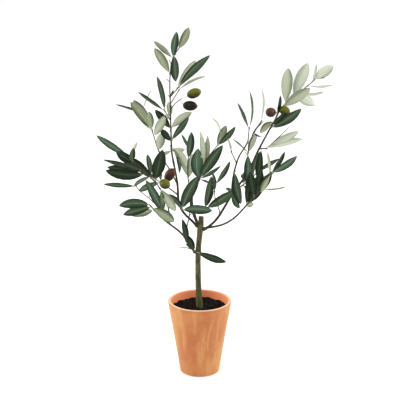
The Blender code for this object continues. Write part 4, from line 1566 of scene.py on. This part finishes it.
soil_low = FLOOR + SOIL_GAP
soil_edge = inner_radius(SOIL_LEVEL) - SOIL_GAP
top_radii = np.linspace(soil_edge, NEAR_AXIS, SOIL_RINGS)
soil_bottom = [(NEAR_AXIS, soil_low), (inner_radius(soil_low) - SOIL_GAP, soil_low)]
soil_top = np.stack([top_radii, np.full(SOIL_RINGS, SOIL_LEVEL)], axis=1)
soil_rings = lathe_rings(np.concatenate([soil_bottom, soil_top]), SOIL_SIDES)


def soil_height(places):
    """Height above the soil's level: lumps of 15, 6 and 2.5 mm, and a ragged rise at the wall."""
    flat = places * (1, 1, 0)
    wall_distance = soil_edge - np.linalg.norm(flat, axis=-1)
    ragged = WALL_RISE + layered(flat, WALL_RISE_LUMPS)
    rise = np.exp(-wall_distance / WALL_RISE_REACH) * ragged
    return layered(flat, SOIL_LUMPS) + np.maximum(rise, DEEPEST_DIP)


soil_rings[2:, :, 2] += soil_height(soil_rings[2:])


def soil_finish(name, darkest, brown, fleck):
    """Near black, browner in places, with a few pale flecks of bark."""
    made = Finish(name)
    cloud = made.noise(160.0, 5.0, 0.65)
    grain = made.noise(1300.0)
    flecks = made.ramp(made.noise(520.0, 1.0), 0.68, 0.74)
    colour = made.mix(made.ramp(cloud, 0.42, 0.68), darkest, brown)
    made.bump(cloud + grain * 0.4, 0.001, 0.9)
    made.set(Roughness=0.9 + 0.08 * grain, Specular_IOR_Level=0.2)
    return made.set(Base_Color=made.mix(flecks * 0.6, colour, fleck))


SOIL = soil_finish("potting_mix_dark", (7, 5, 4), (26, 17, 11), (84, 64, 48))
BARK_CRUMBS = soil_finish("bark_crumbs", (18, 11, 8), (44, 28, 18), (96, 72, 54))
soil_faces = skin_faces(1, len(soil_rings), SOIL_SIDES)
soil = make_piece("potting_mix_body", soil_rings, soil_faces, [SOIL])
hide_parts("potting_mix")


def stones():
    """The twelve corners and twenty faces of an icosahedron of radius 1, with its faces outwards."""
    golden = (1 + math.sqrt(5)) / 2
    signs = [(one, other) for one in (-1, 1) for other in (-1, 1)]
    corners = np.array(
        [np.roll((0.0, one, other * golden), turn) for turn in range(3) for one, other in signs]
    )
    edge = 2.0
    near = np.linalg.norm(corners[:, None] - corners[None], axis=-1) < edge * 1.05
    triples = itertools.combinations(range(len(corners)), 3)
    faces = np.array([triple for triple in triples if near[np.ix_(triple, triple)].all()])
    first, second, third = corners[faces].transpose(1, 0, 2)
    outward = (np.cross(second - first, third - first) * first).sum(axis=1) > 0
    return unit(corners), np.where(outward[:, None], faces, faces[:, ::-1])


dice = np.random.default_rng(CRUMB_SEED)
stone_corners, stone_faces = stones()
distance = (soil_edge - CRUMB_WALL_GAP) * np.sqrt(dice.random(CRUMBS))
turn = math.tau * dice.random(CRUMBS)
spots = np.stack([distance * np.cos(turn), distance * np.sin(turn), np.zeros(CRUMBS)], axis=1)
size = between(CRUMB_SIZE, dice.random(CRUMBS) ** 3)
spots[:, 2] = SOIL_LEVEL + soil_height(spots) + size * CRUMB_SINK
stretch = size[:, None] * between(CRUMB_STRETCH, dice.random((CRUMBS, 3)))
jitter = 1 + CRUMB_ROUGHNESS * dice.standard_normal((CRUMBS, len(stone_corners), 1))
crumb_points = spots[:, None] + stone_corners[None] * jitter * stretch[:, None]
shift = len(stone_corners) * np.arange(CRUMBS)[:, None, None]
crumb_faces = (stone_faces[None] + shift).reshape(-1, 3).tolist()
is_bark = (dice.random(CRUMBS) < BARK_SHARE).astype(np.int32)
crumbs = make_piece(
    "potting_mix_crumbs", crumb_points, crumb_faces, [SOIL, BARK_CRUMBS],
    np.repeat(is_bark, len(stone_faces)), sharp=30.0,
)
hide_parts("potting_mix")

# %% [markdown]
# The dressed plant has to stay within the reach of the imported solids.

# %% The dressed plant
print("the plant is dressed")
